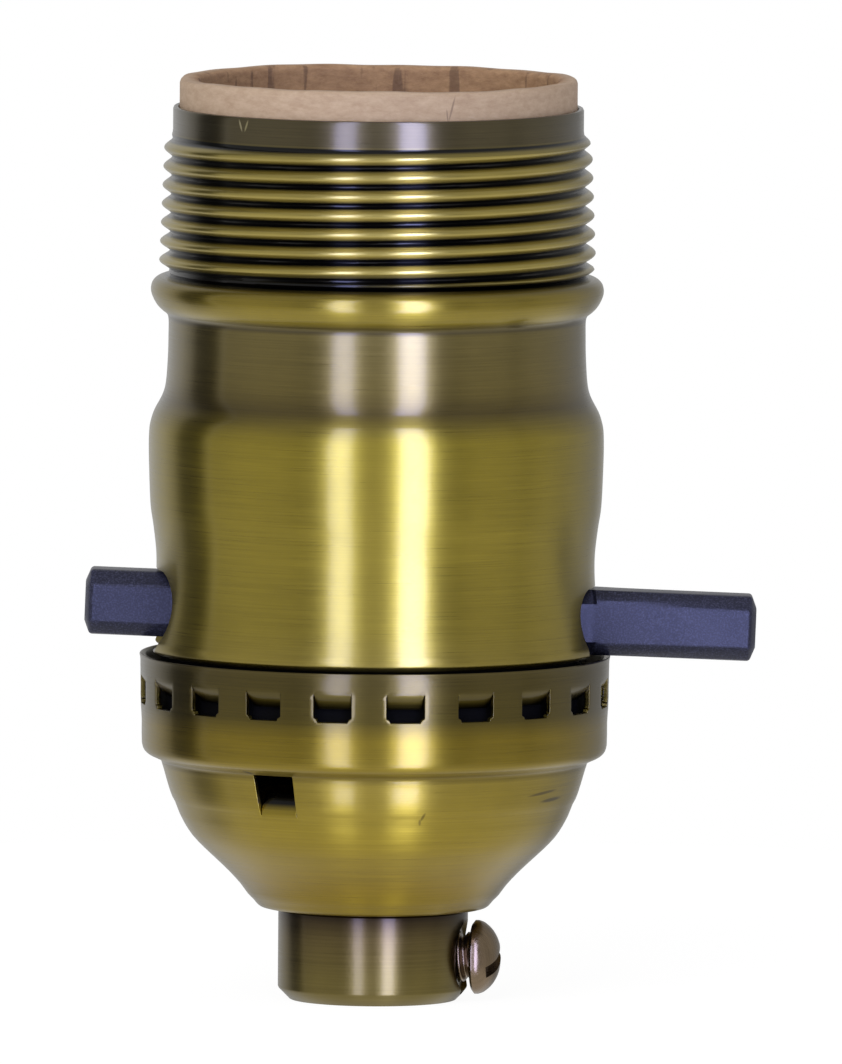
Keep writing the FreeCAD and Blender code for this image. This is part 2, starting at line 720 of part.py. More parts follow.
# The plunger rides in the bore with its domed tip under the rocker; its spigot
# is centred in the coil spring.
saddle = size.rocker_lift
plunger_tip = saddle - size.contact_gap
plunger_shoulder = bore_bottom + size.spring_bore_depth * 0.72
spigot_radius = size.plunger_radius - size.spring_wire * 2
plunger = new_body("plunger_body")
turned(plunger, "plunger_turning", [
    (0, plunger_shoulder - spigot_radius),
    (spigot_radius, plunger_shoulder - spigot_radius),
    (spigot_radius, plunger_shoulder),
    (size.plunger_radius, plunger_shoulder),
    (size.plunger_radius, plunger_tip - size.plunger_radius / 2),
    (size.plunger_radius / 2, plunger_tip),
    (0, plunger_tip),
])
plunger_in_bar = grouped("plunger_in_bar", [plunger])
bind(plunger_in_bar, "Placement.Base.x", size.bar_offset)
keep(lean(grouped("plunger_placed", [plunger_in_bar])), "spring_plunger")

spring = new_body("spring_body")
coil_middle = size.plunger_radius - size.spring_wire * 0.75
wire_half = size.spring_wire / 2
spring_height = plunger_shoulder - bore_bottom - size.spring_wire - size.seat_clearance * 2
wire_section = outline(spring, "wire_section", "XZ_Plane", [
    (coil_middle - wire_half, bore_bottom + size.seat_clearance),
    (coil_middle + wire_half, bore_bottom + size.seat_clearance),
    (coil_middle + wire_half, bore_bottom + size.seat_clearance + size.spring_wire),
    (coil_middle - wire_half, bore_bottom + size.seat_clearance + size.spring_wire),
])
coil = spring.newObject("PartDesign::AdditiveHelix", "coil")
coil.Profile = wire_section
coil.ReferenceAxis = (wire_section, ["V_Axis"])
coil.Mode = "height-turns-angle"
bind(coil, "Height", spring_height)
bind(coil, "Turns", size.spring_turns)
spring_in_bar = grouped("spring_in_bar", [spring])
bind(spring_in_bar, "Placement.Base.x", size.bar_offset)
keep(lean(grouped("spring_placed", [spring_in_bar])), "switch_spring")


# ---------------------------------------------------------------- snap switch
# The rocker's underside is a shallow arch, so that the plunger keeps its
# height while it slides across and tips the rocker the other way.  At rest the
# right end is up against the fixed contact.

half_long = size.rocker_half_length
arch_radius = size.arch_radius
arch_drop = arch_radius - root(arch_radius * arch_radius - half_long * half_long)
pivot_height = saddle + size.rocker_pivot
rocker_low = -size.rocker_pivot - arch_drop
rocker_high = size.rocker_rise - size.rocker_pivot
tip_angle = size.bar_offset / (arch_radius * 2) * (180 / math.pi)

rocker_blank = new_body("rocker_blank")
folded(rocker_blank, "rocker_plate", [
    (half_long, rocker_low, -arch_radius),
    (half_long, rocker_high),
    (-half_long, rocker_high),
    (-half_long, rocker_low),
], size.rocker_half_width * 2)
cheek_inside = size.rocker_half_width + size.strip * 1.3
cheek_outside = cheek_inside + size.strip
trunnions = rod("trunnions", size.pivot_radius, (0, -cheek_outside, 0), cheek_outside * 2, "y")
tipped = joined("rocker_tipped", [rocker_blank, trunnions])
tipped.Placement = FreeCAD.Placement(FreeCAD.Vector(), FreeCAD.Rotation(FreeCAD.Vector(0, -1, 0), 1))
bind(tipped, "Placement.Base.z", pivot_height)
bind(tipped, "Placement.Rotation.Angle", tip_angle)
keep(lean(grouped("rocker_placed", [tipped])), "rocker")

bracket_top = (cover_bottom - bar_height - size.bar_clearance
               - tangent(size.bar_tilt) * cheek_outside)
bracket_bottom = pivot_height - size.pivot_radius * 2
bracket_blank = new_body("bracket_blank")
folded(bracket_blank, "bracket_fold", [
    (-cheek_outside, bracket_bottom), (-cheek_inside, bracket_bottom),
    (-cheek_inside, bracket_top - size.strip), (cheek_inside, bracket_top - size.strip),
    (cheek_inside, bracket_bottom), (cheek_outside, bracket_bottom),
    (cheek_outside, bracket_top), (-cheek_outside, bracket_top),
], size.pivot_radius * 5.4, role="YZ_Plane")
pivot_hole = rod("pivot_hole", size.pivot_radius + size.pivot_clearance,
                 (0, -cheek_outside * 2, pivot_height), cheek_outside * 4, "y")
keep(lean(cut("bracket_cut", bracket_blank, pivot_hole)), "rocker_bracket")

touch_height = (pivot_height + half_long * sine(tip_angle) + rocker_high * cosine(tip_angle)
                + size.contact_gap)
leg_right = chamber_right - size.bar_clearance
finger_left = half_long - size.strip * 2.4
rivet_lean = size.rivet_offset - tangent(size.bar_tilt) * bracket_top
contact_blank = new_body("fixed_contact_blank")
folded(contact_blank, "fixed_contact_fold", [
    (finger_left, touch_height),
    (leg_right, touch_height),
    (leg_right, bracket_top),
    (finger_left - size.strip, bracket_top),
    (finger_left - size.strip, bracket_top - size.strip),
    (leg_right - size.strip, bracket_top - size.strip),
    (leg_right - size.strip, touch_height + size.strip),
    (finger_left, touch_height + size.strip),
], size.rocker_half_width * 2)
plate_hole = rod("plate_hole", size.rivet_radius + size.seat_clearance,
                 (rivet_lean, 0, bracket_top - size.strip * 1.5), size.strip * 3)
keep(lean(cut("fixed_contact_cut", contact_blank, plate_hole)), "fixed_contact")


# ---------------------------------------------------------------- terminals
# Brass strips screwed to the flats: the line strap turns in over the base
# block to the rocker's bracket, the neutral strap turns in over the cover to
# the screw shell's floor.

plate_half_height = size.terminal_head_radius + size.terminal_plate
plate_low = size.terminal_height - plate_half_height
plate_high = size.terminal_height + plate_half_height


def terminal(name, side, strap_top, strap_end):
    """Plate on one flat (side -1 or 1 along Y) and the strap that leaves it."""
    face = block_flat + size.seat_clearance
    blank = new_body(name + "_blank")
    folded(blank, name + "_plate", [
        (face * side, plate_low), ((face + size.terminal_plate) * side, plate_low),
        ((face + size.terminal_plate) * side, plate_high), (face * side, plate_high),
    ], size.terminal_half_width * 2, role="YZ_Plane")
    folded(blank, name + "_strap", [
        (face * side, plate_high - size.strip),
        ((face + size.strip) * side, plate_high - size.strip),
        ((face + size.strip) * side, strap_top),
        (strap_end, strap_top),
        (strap_end, strap_top - size.strip),
        (face * side, strap_top - size.strip),
    ], size.strap_half_width * 2, role="YZ_Plane")
    hole = rod(name + "_hole", terminal_hole, (0, -block_flat * 2, size.terminal_height),
               block_flat * 4, "y")
    return keep(cut(name + "_cut", blank, hole), name)


def slotted_head(name, start, height, radius):
    """Cutter for the slot of a head that starts at x = start."""
    return box(name, (start + height * 0.5, start + height * 2), (-radius * 2, radius * 2),
               (-size.slot_width / 2, size.slot_width / 2))


def terminal_screw(name, turn):
    """Slotted binding screw, built along +X and swung onto its flat."""
    seat = block_flat + size.terminal_plate + size.seat_clearance * 2
    blank = new_body(name + "_blank")
    turned(blank, name + "_turning", [
        (terminal_seat + size.strip, 0),
        (seat + size.terminal_head_height, 0),
        (seat + size.terminal_head_height, size.terminal_head_radius),
        (seat, size.terminal_head_radius),
        (seat, size.terminal_screw_radius),
        (terminal_seat + size.strip, size.terminal_screw_radius),
    ], axis="H_Axis")
    slot_tool = slotted_head(name + "_slot", seat, size.terminal_head_height,
                             size.terminal_head_radius)
    slotted = cut(name + "_slotted", blank, slot_tool)
    bind(slotted, "Placement.Base.z", size.terminal_height)
    return keep(around(name + "_placed", [slotted], turn), name)


terminal("line_terminal", -1, block_top + size.strip + size.seat_clearance,
         size.strap_half_width)
terminal("neutral_terminal", 1, cover_top - size.seat_clearance,
         floor_hole_radius + size.strip)
terminal_screw("line_terminal_screw", -90)
terminal_screw("neutral_terminal_screw", 90)


# ---------------------------------------------------------------- lamp contacts
# Rolled screw shell, sprung centre contact with its rivet, and the two screws
# that hold the shell, the cover and the base block together.

screw_shell_top = cover_top + size.screw_shell_height
shell_floor = cover_top + size.screw_shell_wall
screw_shell_blank = new_body("screw_shell_blank")
turned(screw_shell_blank, "screw_shell_turning", [
    (floor_hole_radius, cover_top),
    (floor_hole_radius, shell_floor),
    (size.screw_shell_radius, shell_floor),
    (size.screw_shell_radius, screw_shell_top),
    (screw_shell_outer, screw_shell_top),
    (screw_shell_outer, cover_top),
])
floor_holes = joined("floor_holes", fastener_rods("floor_hole", hole_radius,
                                                  cover_top - overcut, shell_floor + overcut))
keep(cut("screw_shell_cut", screw_shell_blank, floor_holes), "screw_shell")

rise = size.centre_contact_rise
head_radius = size.rivet_radius * 1.9
contact_end = size.rivet_offset + head_radius
contact_bend = size.rivet_offset - head_radius * 1.2
centre_blank = new_body("centre_contact_blank")
folded(centre_blank, "centre_contact_fold", [
    (contact_end, cover_top),
    (contact_end, cover_top + size.strip),
    (contact_bend + size.strip / 2, cover_top + size.strip),
    (size.strip / 2, cover_top + rise),
    (-size.strip * 4, cover_top + rise),
    (-size.strip * 6.4, cover_top + rise - size.strip * 2),
    (-size.strip * 5.6, cover_top + rise - size.strip * 2.6),
    (-size.strip * 3.6, cover_top + rise - size.strip),
    (-size.strip / 6, cover_top + rise - size.strip),
    (contact_bend, cover_top),
], size.strip * 10)
contact_hole = rod("contact_hole", size.rivet_radius + size.seat_clearance,
                   (size.rivet_offset, 0, cover_top - overcut), overcut * 3)
keep(cut("centre_contact_cut", centre_blank, contact_hole), "centre_contact")

rivet_head = cover_top + size.strip + size.seat_clearance
rivet_low = (bar_height + bracket_top - size.strip - size.seat_clearance
             - tangent(size.bar_tilt) * contact_end)
rivet_body = new_body("rivet_body")
turned(rivet_body, "rivet_turning", [
    (0, rivet_low - size.strip / 2),
    (size.rivet_radius * 1.5, rivet_low - size.strip / 2),
    (size.rivet_radius * 1.5, rivet_low),
    (size.rivet_radius, rivet_low),
    (size.rivet_radius, rivet_head),
    (head_radius, rivet_head),
    (head_radius, rivet_head + size.strip * 1.5),
    (0, rivet_head + size.strip * 1.5),
])
rivet = grouped("rivet_placed", [rivet_body])
bind(rivet, "Placement.Base.x", size.rivet_offset)
keep(rivet, "centre_contact_rivet")

screw_seat = shell_floor + size.seat_clearance
head_height = size.fastener_head * 0.6
fasteners = []
for index, side in enumerate((1, -1), 1):
    blank = new_body(f"fastener_blank_{index}")
    turned(blank, f"fastener_turning_{index}", [
        (0, fastener_bottom + size.strip),
        (size.fastener_radius, fastener_bottom + size.strip),
        (size.fastener_radius, screw_seat),
        (size.fastener_head, screw_seat),
        (size.fastener_head, screw_seat + head_height),
        (0, screw_seat + head_height),
    ])
    slot_tool = box(f"fastener_slot_{index}",
                    (-size.fastener_head * 2, size.fastener_head * 2),
                    (-size.slot_width / 3, size.slot_width / 3),
                    (screw_seat + head_height / 2, screw_seat + head_height * 2))
    slotted = cut(f"fastener_slotted_{index}", blank, slot_tool)
    bind(slotted, "Placement.Base.x", fastener_x * side)
    bind(slotted, "Placement.Base.y", -fastener_y * side)
    fasteners.append(slotted)
keep(grouped("fasteners", fasteners), "assembly_screws")


# ---------------------------------------------------------------- output
doc.recompute()
for item in doc.Objects:
    if "Invalid" in item.State or "Error" in item.State:
        raise RuntimeError(f"{item.Name} ({item.Label}) failed: {item.State}")
for item in SUB_PARTS:
    if item.Shape.isNull() or not item.Shape.isValid() or not item.Shape.Solids:
        raise RuntimeError(f"{item.Label} has no valid solid")

os.makedirs("parts", exist_ok=True)
for item in SUB_PARTS:
    item.Shape.exportStep(f"parts/{item.Label}.step")
    print(f"{item.Label}: {len(item.Shape.Solids)} solid(s), {item.Shape.Volume:.1f} mm3")
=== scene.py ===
import math

import bmesh
import bpy
from mathutils import Matrix, Vector


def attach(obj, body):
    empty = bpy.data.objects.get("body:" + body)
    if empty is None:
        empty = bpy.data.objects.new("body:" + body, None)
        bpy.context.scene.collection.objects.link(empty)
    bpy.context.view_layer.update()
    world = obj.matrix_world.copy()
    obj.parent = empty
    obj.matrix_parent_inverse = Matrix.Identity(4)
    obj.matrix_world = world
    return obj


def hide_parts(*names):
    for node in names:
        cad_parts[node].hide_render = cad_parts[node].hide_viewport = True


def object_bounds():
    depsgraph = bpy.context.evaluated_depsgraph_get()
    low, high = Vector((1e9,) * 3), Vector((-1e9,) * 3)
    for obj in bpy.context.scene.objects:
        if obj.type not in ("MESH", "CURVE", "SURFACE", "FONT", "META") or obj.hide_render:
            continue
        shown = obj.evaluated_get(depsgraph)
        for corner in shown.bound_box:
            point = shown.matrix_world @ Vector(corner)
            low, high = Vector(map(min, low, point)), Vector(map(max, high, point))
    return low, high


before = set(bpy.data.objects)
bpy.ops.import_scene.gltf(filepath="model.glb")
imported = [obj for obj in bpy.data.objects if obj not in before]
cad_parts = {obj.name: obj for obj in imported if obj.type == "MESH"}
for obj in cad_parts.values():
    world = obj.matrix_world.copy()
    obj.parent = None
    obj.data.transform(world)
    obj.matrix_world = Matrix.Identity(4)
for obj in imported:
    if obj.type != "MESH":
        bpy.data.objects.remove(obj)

cad_low, cad_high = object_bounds()

# ---------------------------------------------------------------- camera
# A long lens a little above the holder's middle, leaning a touch to one side.
FRAME_HEIGHT = 0.08225
CAMERA_DISTANCE = 3.0
CAMERA_ELEVATION = math.radians(4.9)
CAMERA_ROLL = math.radians(0.4)
AIM_RISE = 0.0005
SENSOR = 36.0

aim = (cad_low + cad_high) / 2 + Vector((0, 0, AIM_RISE))
aim.y = 0
camera_data = bpy.data.cameras.new("camera")
camera_data.sensor_width = SENSOR
camera_data.lens = SENSOR * CAMERA_DISTANCE / FRAME_HEIGHT
camera_data.clip_end = 20
camera = bpy.data.objects.new("camera", camera_data)
bpy.context.scene.collection.objects.link(camera)
backwards = Vector((0, -math.cos(CAMERA_ELEVATION), math.sin(CAMERA_ELEVATION)))
camera.location = aim + backwards * CAMERA_DISTANCE
facing = (-backwards).to_track_quat("-Z", "Y").to_matrix().to_4x4()
camera.rotation_euler = (facing @ Matrix.Rotation(CAMERA_ROLL, 4, "Z")).to_euler()
bpy.context.scene.camera = camera


# ---------------------------------------------------------------- bushing
# Turned brass, chamfered at its mouth and threaded inside for a pipe nipple,
# its tenon staked over inside the cap.  A flat is spot faced round the hole
# for the set screw.
MM = 0.001
SCREW_TURN = math.radians(-8)
SCREW_HEIGHT = 3.4
SPOT_FACE = 6.77
TONE_TOP = 72
# Painted shade: the near-black colour painted into the hollows of the brass.
HOLLOW_SHADE = "#0a0806"


def colour(hex_code):
    """sRGB hex to the linear colour that a node takes."""
    def linear(value):
        return value / 12.92 if value <= 0.04045 else ((value + 0.055) / 1.055) ** 2.4
    return tuple(linear(int(hex_code[i:i + 2], 16) / 255) for i in (1, 3, 5)) + (1.0,)


def add(tree, kind, links=(), **settings):
    """Add a node with its settings, then link (its input, another node's output)."""
    node = tree.nodes.new(kind)
    for key, value in settings.items():
        if key.startswith("in_"):
            name = key[3:]
            name = int(name) if name.isdigit() else name.replace("_", " ")
            node.inputs[name].default_value = value
        else:
            setattr(node, key, value)
    for name, source in links:
        tree.links.new(source, node.inputs[name])
    return node


def new_material(name):
    """Material with a Principled shader; returns it, its tree and the shader."""
    made = bpy.data.materials.new(name)
    made.use_nodes = True
    tree = made.node_tree
    return made, tree, tree.nodes["Principled BSDF"]


def ramp(tree, source, stops):
    """Colour ramp through (place, colour or grey) stops."""
    node = add(tree, "ShaderNodeValToRGB", [(0, source)])
    elements = node.color_ramp.elements
    while len(elements) < len(stops):
        elements.new(0.5)
    for element, (place, value) in zip(elements, stops):
        element.position = place
        element.color = value if isinstance(value, tuple) else (value, value, value, 1)
    return node.outputs[0]


def stretched(tree, kind, lengths_mm, **settings):
    """Texture whose features are lengths_mm long along X, Y and Z."""
    place = add(tree, "ShaderNodeTexCoord").outputs["Object"]
    scaled = add(tree, "ShaderNodeMapping", [("Vector", place)])
    scaled.inputs["Scale"].default_value = [1000 / length for length in lengths_mm]
    return add(tree, kind, [("Vector", scaled.outputs[0])], **settings)


def round_axis(tree):
    """Distance from the Z axis and height, both in metres."""
    place = add(tree, "ShaderNodeTexCoord").outputs["Object"]
    flat = add(tree, "ShaderNodeVectorMath", [(0, place)], operation="MULTIPLY", in_1=(1, 1, 0))
    radius = add(tree, "ShaderNodeVectorMath", [(0, flat.outputs[0])], operation="LENGTH")
    height = add(tree, "ShaderNodeSeparateXYZ", [(0, place)]).outputs[2]
    return radius.outputs["Value"], height


def tinted(tree, factor, first, second, blend="MIX"):
    """Mix two colours (or sockets) by a factor (or a socket)."""
    mix = add(tree, "ShaderNodeMix", data_type="RGBA", blend_type=blend)
    for index, value in ((0, factor), (6, first), (7, second)):
        if hasattr(value, "is_output"):
            tree.links.new(value, mix.inputs[index])
        else:
            mix.inputs[index].default_value = value
    return mix.outputs[2]


def hollow(tree, low, high, start, slope, soft):
    """Mask of what lies nearer the axis than a slanted line between two heights, in mm."""
    radius, height = round_axis(tree)
    lean = add(tree, "ShaderNodeMath", [(0, height), (2, radius)], operation="MULTIPLY_ADD",
               in_1=-slope)
    level = start - slope * low
    deep = add(tree, "ShaderNodeMapRange", [(0, lean.outputs[0])], in_1=(level - soft) * MM,
               in_2=(level + soft) * MM, in_3=1.0, in_4=0.0)
    share = add(tree, "ShaderNodeMapRange", [(0, height)], in_1=(low - 1) * MM,
                in_2=(high + 1) * MM)
    edge = 1 / (high - low + 2)
    zone = ramp(tree, share.outputs[0], [(edge * 0.9, 0.0), (edge, 1.0), (1 - edge, 1.0),
                                         (1 - edge * 0.9, 0.0)])
    return add(tree, "ShaderNodeMath", [(0, deep.outputs[0]), (1, zone)],
               operation="MULTIPLY").outputs[0]


def marked(tree, tone, marks):
    """Small blots on a colour: (centre in mm, reach in mm, lean in degrees, colour)."""
    place = add(tree, "ShaderNodeTexCoord").outputs["Object"]
    for centre, reach, lean, code in marks:
        away = add(tree, "ShaderNodeVectorMath", [(0, place)], operation="SUBTRACT",
                   in_1=[value * MM for value in centre])
        turned = add(tree, "ShaderNodeVectorRotate", [("Vector", away.outputs[0])],
                     rotation_type="Y_AXIS", in_Angle=math.radians(lean))
        scaled = add(tree, "ShaderNodeVectorMath", [(0, turned.outputs[0])], operation="MULTIPLY",
                     in_1=[1 / (value * MM) for value in reach])
        far = add(tree, "ShaderNodeVectorMath", [(0, scaled.outputs[0])], operation="LENGTH")
        near = add(tree, "ShaderNodeMapRange", [(0, far.outputs["Value"])], in_1=0.55, in_2=1.0,
                   in_3=0.85, in_4=0.0)
        tone = tinted(tree, near.outputs[0], tone, colour(code))
    return tone


def brushed_brass(name, heights, roughness, grain_mm, depth, coat, spread=0.0, hollows=(),
                  marks=()):
    """Brass under lacquer.  Its tone follows the height; darker bands in the
    heights are painted shade and painted reflection, and the hollows are painted
    near black as painted shade.  Brushing runs round the axis and spreads
    reflections up and down.  Its lines are finer than they can be shown, so they
    are drawn about 0.1 mm apart."""
    made, tree, shader = new_material(name)
    patches = stretched(tree, "ShaderNodeTexNoise", (7, 7, 4), in_Scale=1.0, in_Detail=5.0,
                        in_Roughness=0.65)
    lines = stretched(tree, "ShaderNodeTexNoise", grain_mm, in_Scale=1.0, in_Detail=4.0,
                      in_Roughness=0.7)
    height = add(tree, "ShaderNodeMapRange", [(0, round_axis(tree)[1])], in_1=0.0,
                 in_2=TONE_TOP * MM)
    tone = ramp(tree, height.outputs[0], [(z / TONE_TOP, colour(code)) for z, code in heights])
    uneven = ramp(tree, patches.outputs[0], [(0.3, 0.88), (0.7, 1.0)])
    streak = ramp(tree, lines.outputs[0], [(0.35, 0.78), (0.7, 1.0)])
    tone = tinted(tree, 1.0, tone, uneven, "MULTIPLY")
    tone = tinted(tree, 1.0, tone, streak, "MULTIPLY")
    # Painted shade: what lies in each hollow is painted near black.
    for sunk in hollows:
        tone = tinted(tree, hollow(tree, *sunk), tone, colour(HOLLOW_SHADE))
    tree.links.new(marked(tree, tone, marks), shader.inputs["Base Color"])
    shader.inputs["Metallic"].default_value = 1.0
    rough = add(tree, "ShaderNodeMapRange", [(0, lines.outputs[0])], in_1=0.3, in_2=0.7,
                in_3=roughness * 0.85, in_4=roughness * 1.2)
    tree.links.new(rough.outputs[0], shader.inputs["Roughness"])
    bump = add(tree, "ShaderNodeBump", [("Height", lines.outputs[0])], in_Strength=depth,
               in_Distance=0.00002)
    tree.links.new(bump.outputs[0], shader.inputs["Normal"])
    shader.inputs["Coat Weight"].default_value = coat
    shader.inputs["Coat Roughness"].default_value = 0.14
    if spread:
        place = add(tree, "ShaderNodeTexCoord").outputs["Object"]
        around = add(tree, "ShaderNodeVectorMath", [(1, place)], operation="CROSS_PRODUCT",
                     in_0=(0, 0, 1))
        tree.links.new(around.outputs[0], shader.inputs["Tangent"])
        shader.inputs["Anisotropic"].default_value = spread
        shader.inputs["Anisotropic Rotation"].default_value = 0.25
    return made


def spun(outline, steps, closed=True):
    """Turn an outline of (radius, height) in mm round Z into a closed skin."""
    bm = bmesh.new()
    corners = [bm.verts.new((radius * MM, 0, height * MM)) for radius, height in outline]
    count = len(corners)
    edges = [bm.edges.new((corners[i], corners[(i + 1) % count]))
             for i in range(count if closed else count - 1)]
    bmesh.ops.spin(bm, geom=corners + edges, cent=(0, 0, 0), axis=(0, 0, 1), dvec=(0, 0, 0),
                   angle=2 * math.pi, steps=steps, use_merge=True)
    bmesh.ops.remove_doubles(bm, verts=bm.verts, dist=1e-7)
    bmesh.ops.recalc_face_normals(bm, faces=bm.faces)
    return bm


def smooth_line(points, parts):
    """Points along a smooth line through the given (radius, height) points."""
    line = []
    for i in range(len(points) - 1):
        before, start = points[max(i - 1, 0)], points[i]
        end, after = points[i + 1], points[min(i + 2, len(points) - 1)]
        for part in range(parts):
            t = part / parts
            line.append(tuple(
                0.5 * (2 * b + (c - a) * t + (2 * a - 5 * b + 4 * c - d) * t * t
                       + (3 * b - 3 * c + d - a) * t ** 3)
                for a, b, c, d in zip(before, start, end, after)))
    line.append(points[-1])
    return line


def made_object(name, bm):
    """Object at the origin from a bmesh, which is used up."""
    mesh = bpy.data.meshes.new(name)
    bm.to_mesh(mesh)
    bm.free()
    piece = bpy.data.objects.new(name, mesh)
    bpy.context.scene.collection.objects.link(piece)
    return piece


def settle(piece):
    """Make a piece's modifiers part of its mesh."""
    bpy.context.view_layer.update()
    graph = bpy.context.evaluated_depsgraph_get()
    mesh = bpy.data.meshes.new_from_object(piece.evaluated_get(graph))
    piece.modifiers.clear()
    piece.data = mesh
    return piece


def carve(piece, *tools):
    """Cut tool objects out of a piece and throw the tools away."""
    for tool in tools:
        cutter = piece.modifiers.new("cut", "BOOLEAN")
        cutter.object = tool
        cutter.operation = "DIFFERENCE"
        cutter.solver = "EXACT"
    settle(piece)
    for tool in tools:
        bpy.data.objects.remove(tool)
    return piece


def rod(name, radius, start, end, steps=48, turn=Matrix()):
    """Cylinder along X from start to end, in mm, turned by a matrix."""
    bm = bmesh.new()
    bmesh.ops.create_cone(bm, cap_ends=True, segments=steps, radius1=radius * MM,
                          radius2=radius * MM, depth=(end - start) * MM,
                          matrix=turn @ Matrix.Translation(((start + end) / 2 * MM, 0, 0))
                          @ Matrix.Rotation(math.pi / 2, 4, "Y"))
    return made_object(name, bm)


def finish_piece(piece, body, nodes, material, sharp=35):
    """Smooth shading with sharp edges kept, material, and its place in the frame."""
    mesh = piece.data
    mesh.materials.clear()
    mesh.materials.append(material)
    mesh.polygons.foreach_set("use_smooth", [True] * len(mesh.polygons))
    mesh.polygons.foreach_set("material_index", [0] * len(mesh.polygons))
    mesh.set_sharp_from_angle(angle=math.radians(sharp))
    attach(piece, body)
    if nodes:
        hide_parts(*nodes)
    return piece


def roll_thread(bm, low, high, pitch, shape, chosen):
    """Push chosen vertices to a right-hand thread's radius in mm, shape(turn, height)."""
    for vert in bm.verts:
        radius = math.hypot(vert.co.x, vert.co.y)
        height = vert.co.z / MM
        if low <= height <= high and chosen(radius / MM):
            turn = height / pitch - math.atan2(vert.co.y, vert.co.x) / (2 * math.pi)
            ratio = shape(turn % 1, height) * MM / radius
            vert.co.x *= ratio
            vert.co.y *= ratio


screw_place = (Matrix.Translation((0, 0, SCREW_HEIGHT * MM))
               @ Matrix.Rotation(SCREW_TURN, 4, "Z"))
NIPPLE_RADIUS = 4.6
NIPPLE_PITCH = 0.94
bore_rows = [(NIPPLE_RADIUS, 0.5 + 0.1175 * row) for row in range(66)]
bushing = spun([
    (6.38, 0.0), (6.46, 0.03), (7.28, 0.86), (7.34, 1.0), (7.34, 6.9), (7.2, 7.08),
    (6.0, 7.1), (6.0, 7.55), (6.8, 7.55), (6.75, 8.2), (6.5, 8.35), (4.9, 8.35),
] + bore_rows[::-1] + [(5.05, 0.0)], 128)
roll_thread(bushing, 0.8, 8.0, NIPPLE_PITCH,
            lambda turn, height: NIPPLE_RADIUS + 0.16 * (1 - math.cos(2 * math.pi * turn)),
            lambda radius: abs(radius - NIPPLE_RADIUS) < 0.01)
bushing = carve(made_object("cap_bushing_turning", bushing),
                rod("hole", 2.0, 2.0, 12.0, turn=screw_place),
                rod("spot", 2.95, SPOT_FACE, 12.0, steps=64, turn=screw_place))
# Brass darkened and turned: grey-olive with fine tool lines.  Towards the top,
# # where it meets the cap's bowl, it is painted darker as painted shade.
turned_brass = brushed_brass("turned_antique_brass",
                             [(0.3, "#786a38"), (2, "#786a38"), (5, "#6c5d36"), (6.4, "#4c3f28"),
                              (7, "#2c2219")],
                             0.32, (14, 14, 0.10), 0.35, 0.2, spread=0.85)
finish_piece(bushing, "holder", ["cap_bushing"], turned_brass)


# ---------------------------------------------------------------- set screw
# Round-headed slotted screw of plated steel, bronze coloured, that locks the
# nipple in the bushing.
HEAD_START = 7.82
HEAD_END = 9.97
HEAD_RADIUS = 2.86
SLOT_TURN = math.radians(26)
screw_outline = smooth_line([(0.0, HEAD_END), (1.2, HEAD_END - 0.16), (2.1, HEAD_END - 0.62),
                             (2.68, HEAD_END - 1.25), (HEAD_RADIUS, HEAD_START + 0.45)], 4)
screw_outline += [(HEAD_RADIUS, HEAD_START + 0.2), (2.6, HEAD_START), (2.0, HEAD_START)]
thread_top = HEAD_START - 0.1
screw_outline += [(1.9, thread_top - 0.06 * row) for row in range(48)]
screw_outline += [(1.5, 4.78), (0.0, 4.75)]
screw_bm = spun(screw_outline, 64, closed=False)
roll_thread(screw_bm, 5.0, thread_top, 0.79,
            lambda turn, height: 1.93 - 0.17 * (1 - math.cos(2 * math.pi * turn)),
            lambda radius: abs(radius - 1.9) < 0.01)
lying = Matrix.Rotation(math.pi / 2, 4, "Y")
bmesh.ops.transform(screw_bm, matrix=screw_place @ lying, verts=screw_bm.verts)
slot_bm = bmesh.new()
bmesh.ops.create_cube(slot_bm, size=1, matrix=(
    screw_place @ Matrix.Rotation(SLOT_TURN, 4, "X")
    @ Matrix.Translation(((HEAD_END + 0.65) * MM, 0, 0))
    @ Matrix.Diagonal((3 * MM, 8 * MM, 0.95 * MM, 1))))
set_screw = carve(made_object("set_screw_turning", screw_bm), made_object("slot", slot_bm))
# Bronze-plated steel: reddish, satin, slightly uneven.
screw_bronze = brushed_brass("plated_bronze", [(0, "#77654e"), (7, "#8a775c")], 0.27,
                             (1.2, 0.12, 1.2), 0.25, 0.2)
finish_piece(set_screw, "holder", ["set_screw"], screw_bronze)


# ---------------------------------------------------------------- cap
# Drawn from one brass sheet: rolled rim, band with twenty lanced windows whose
# tongues grip the shell, a shelf, and a bowl with two lanced vents.
WALL = 0.45
WINDOWS = 20
WINDOW_TURN = math.radians(7.7)
WINDOW_HALF = 4.68
VENT_HALF = 5.86
VENT_WINDOWS = (13, 3)
CORNER_COLUMN = 3.75
CORNER_SHARE = 0.3
ROLLED_EDGE = 0.215
WINDOW_ROWS = (22.98, 23.32, 23.95, 25.2)
VENT_ROWS = (15.3, 17.1, 18.55)
SECTOR_HALF = 9.0
SECTOR_COLUMNS = [-SECTOR_HALF, -7.4, -VENT_HALF, -WINDOW_HALF, -CORNER_COLUMN, -1.9, 0.0, 1.9,
                  CORNER_COLUMN, WINDOW_HALF, VENT_HALF, 7.4]

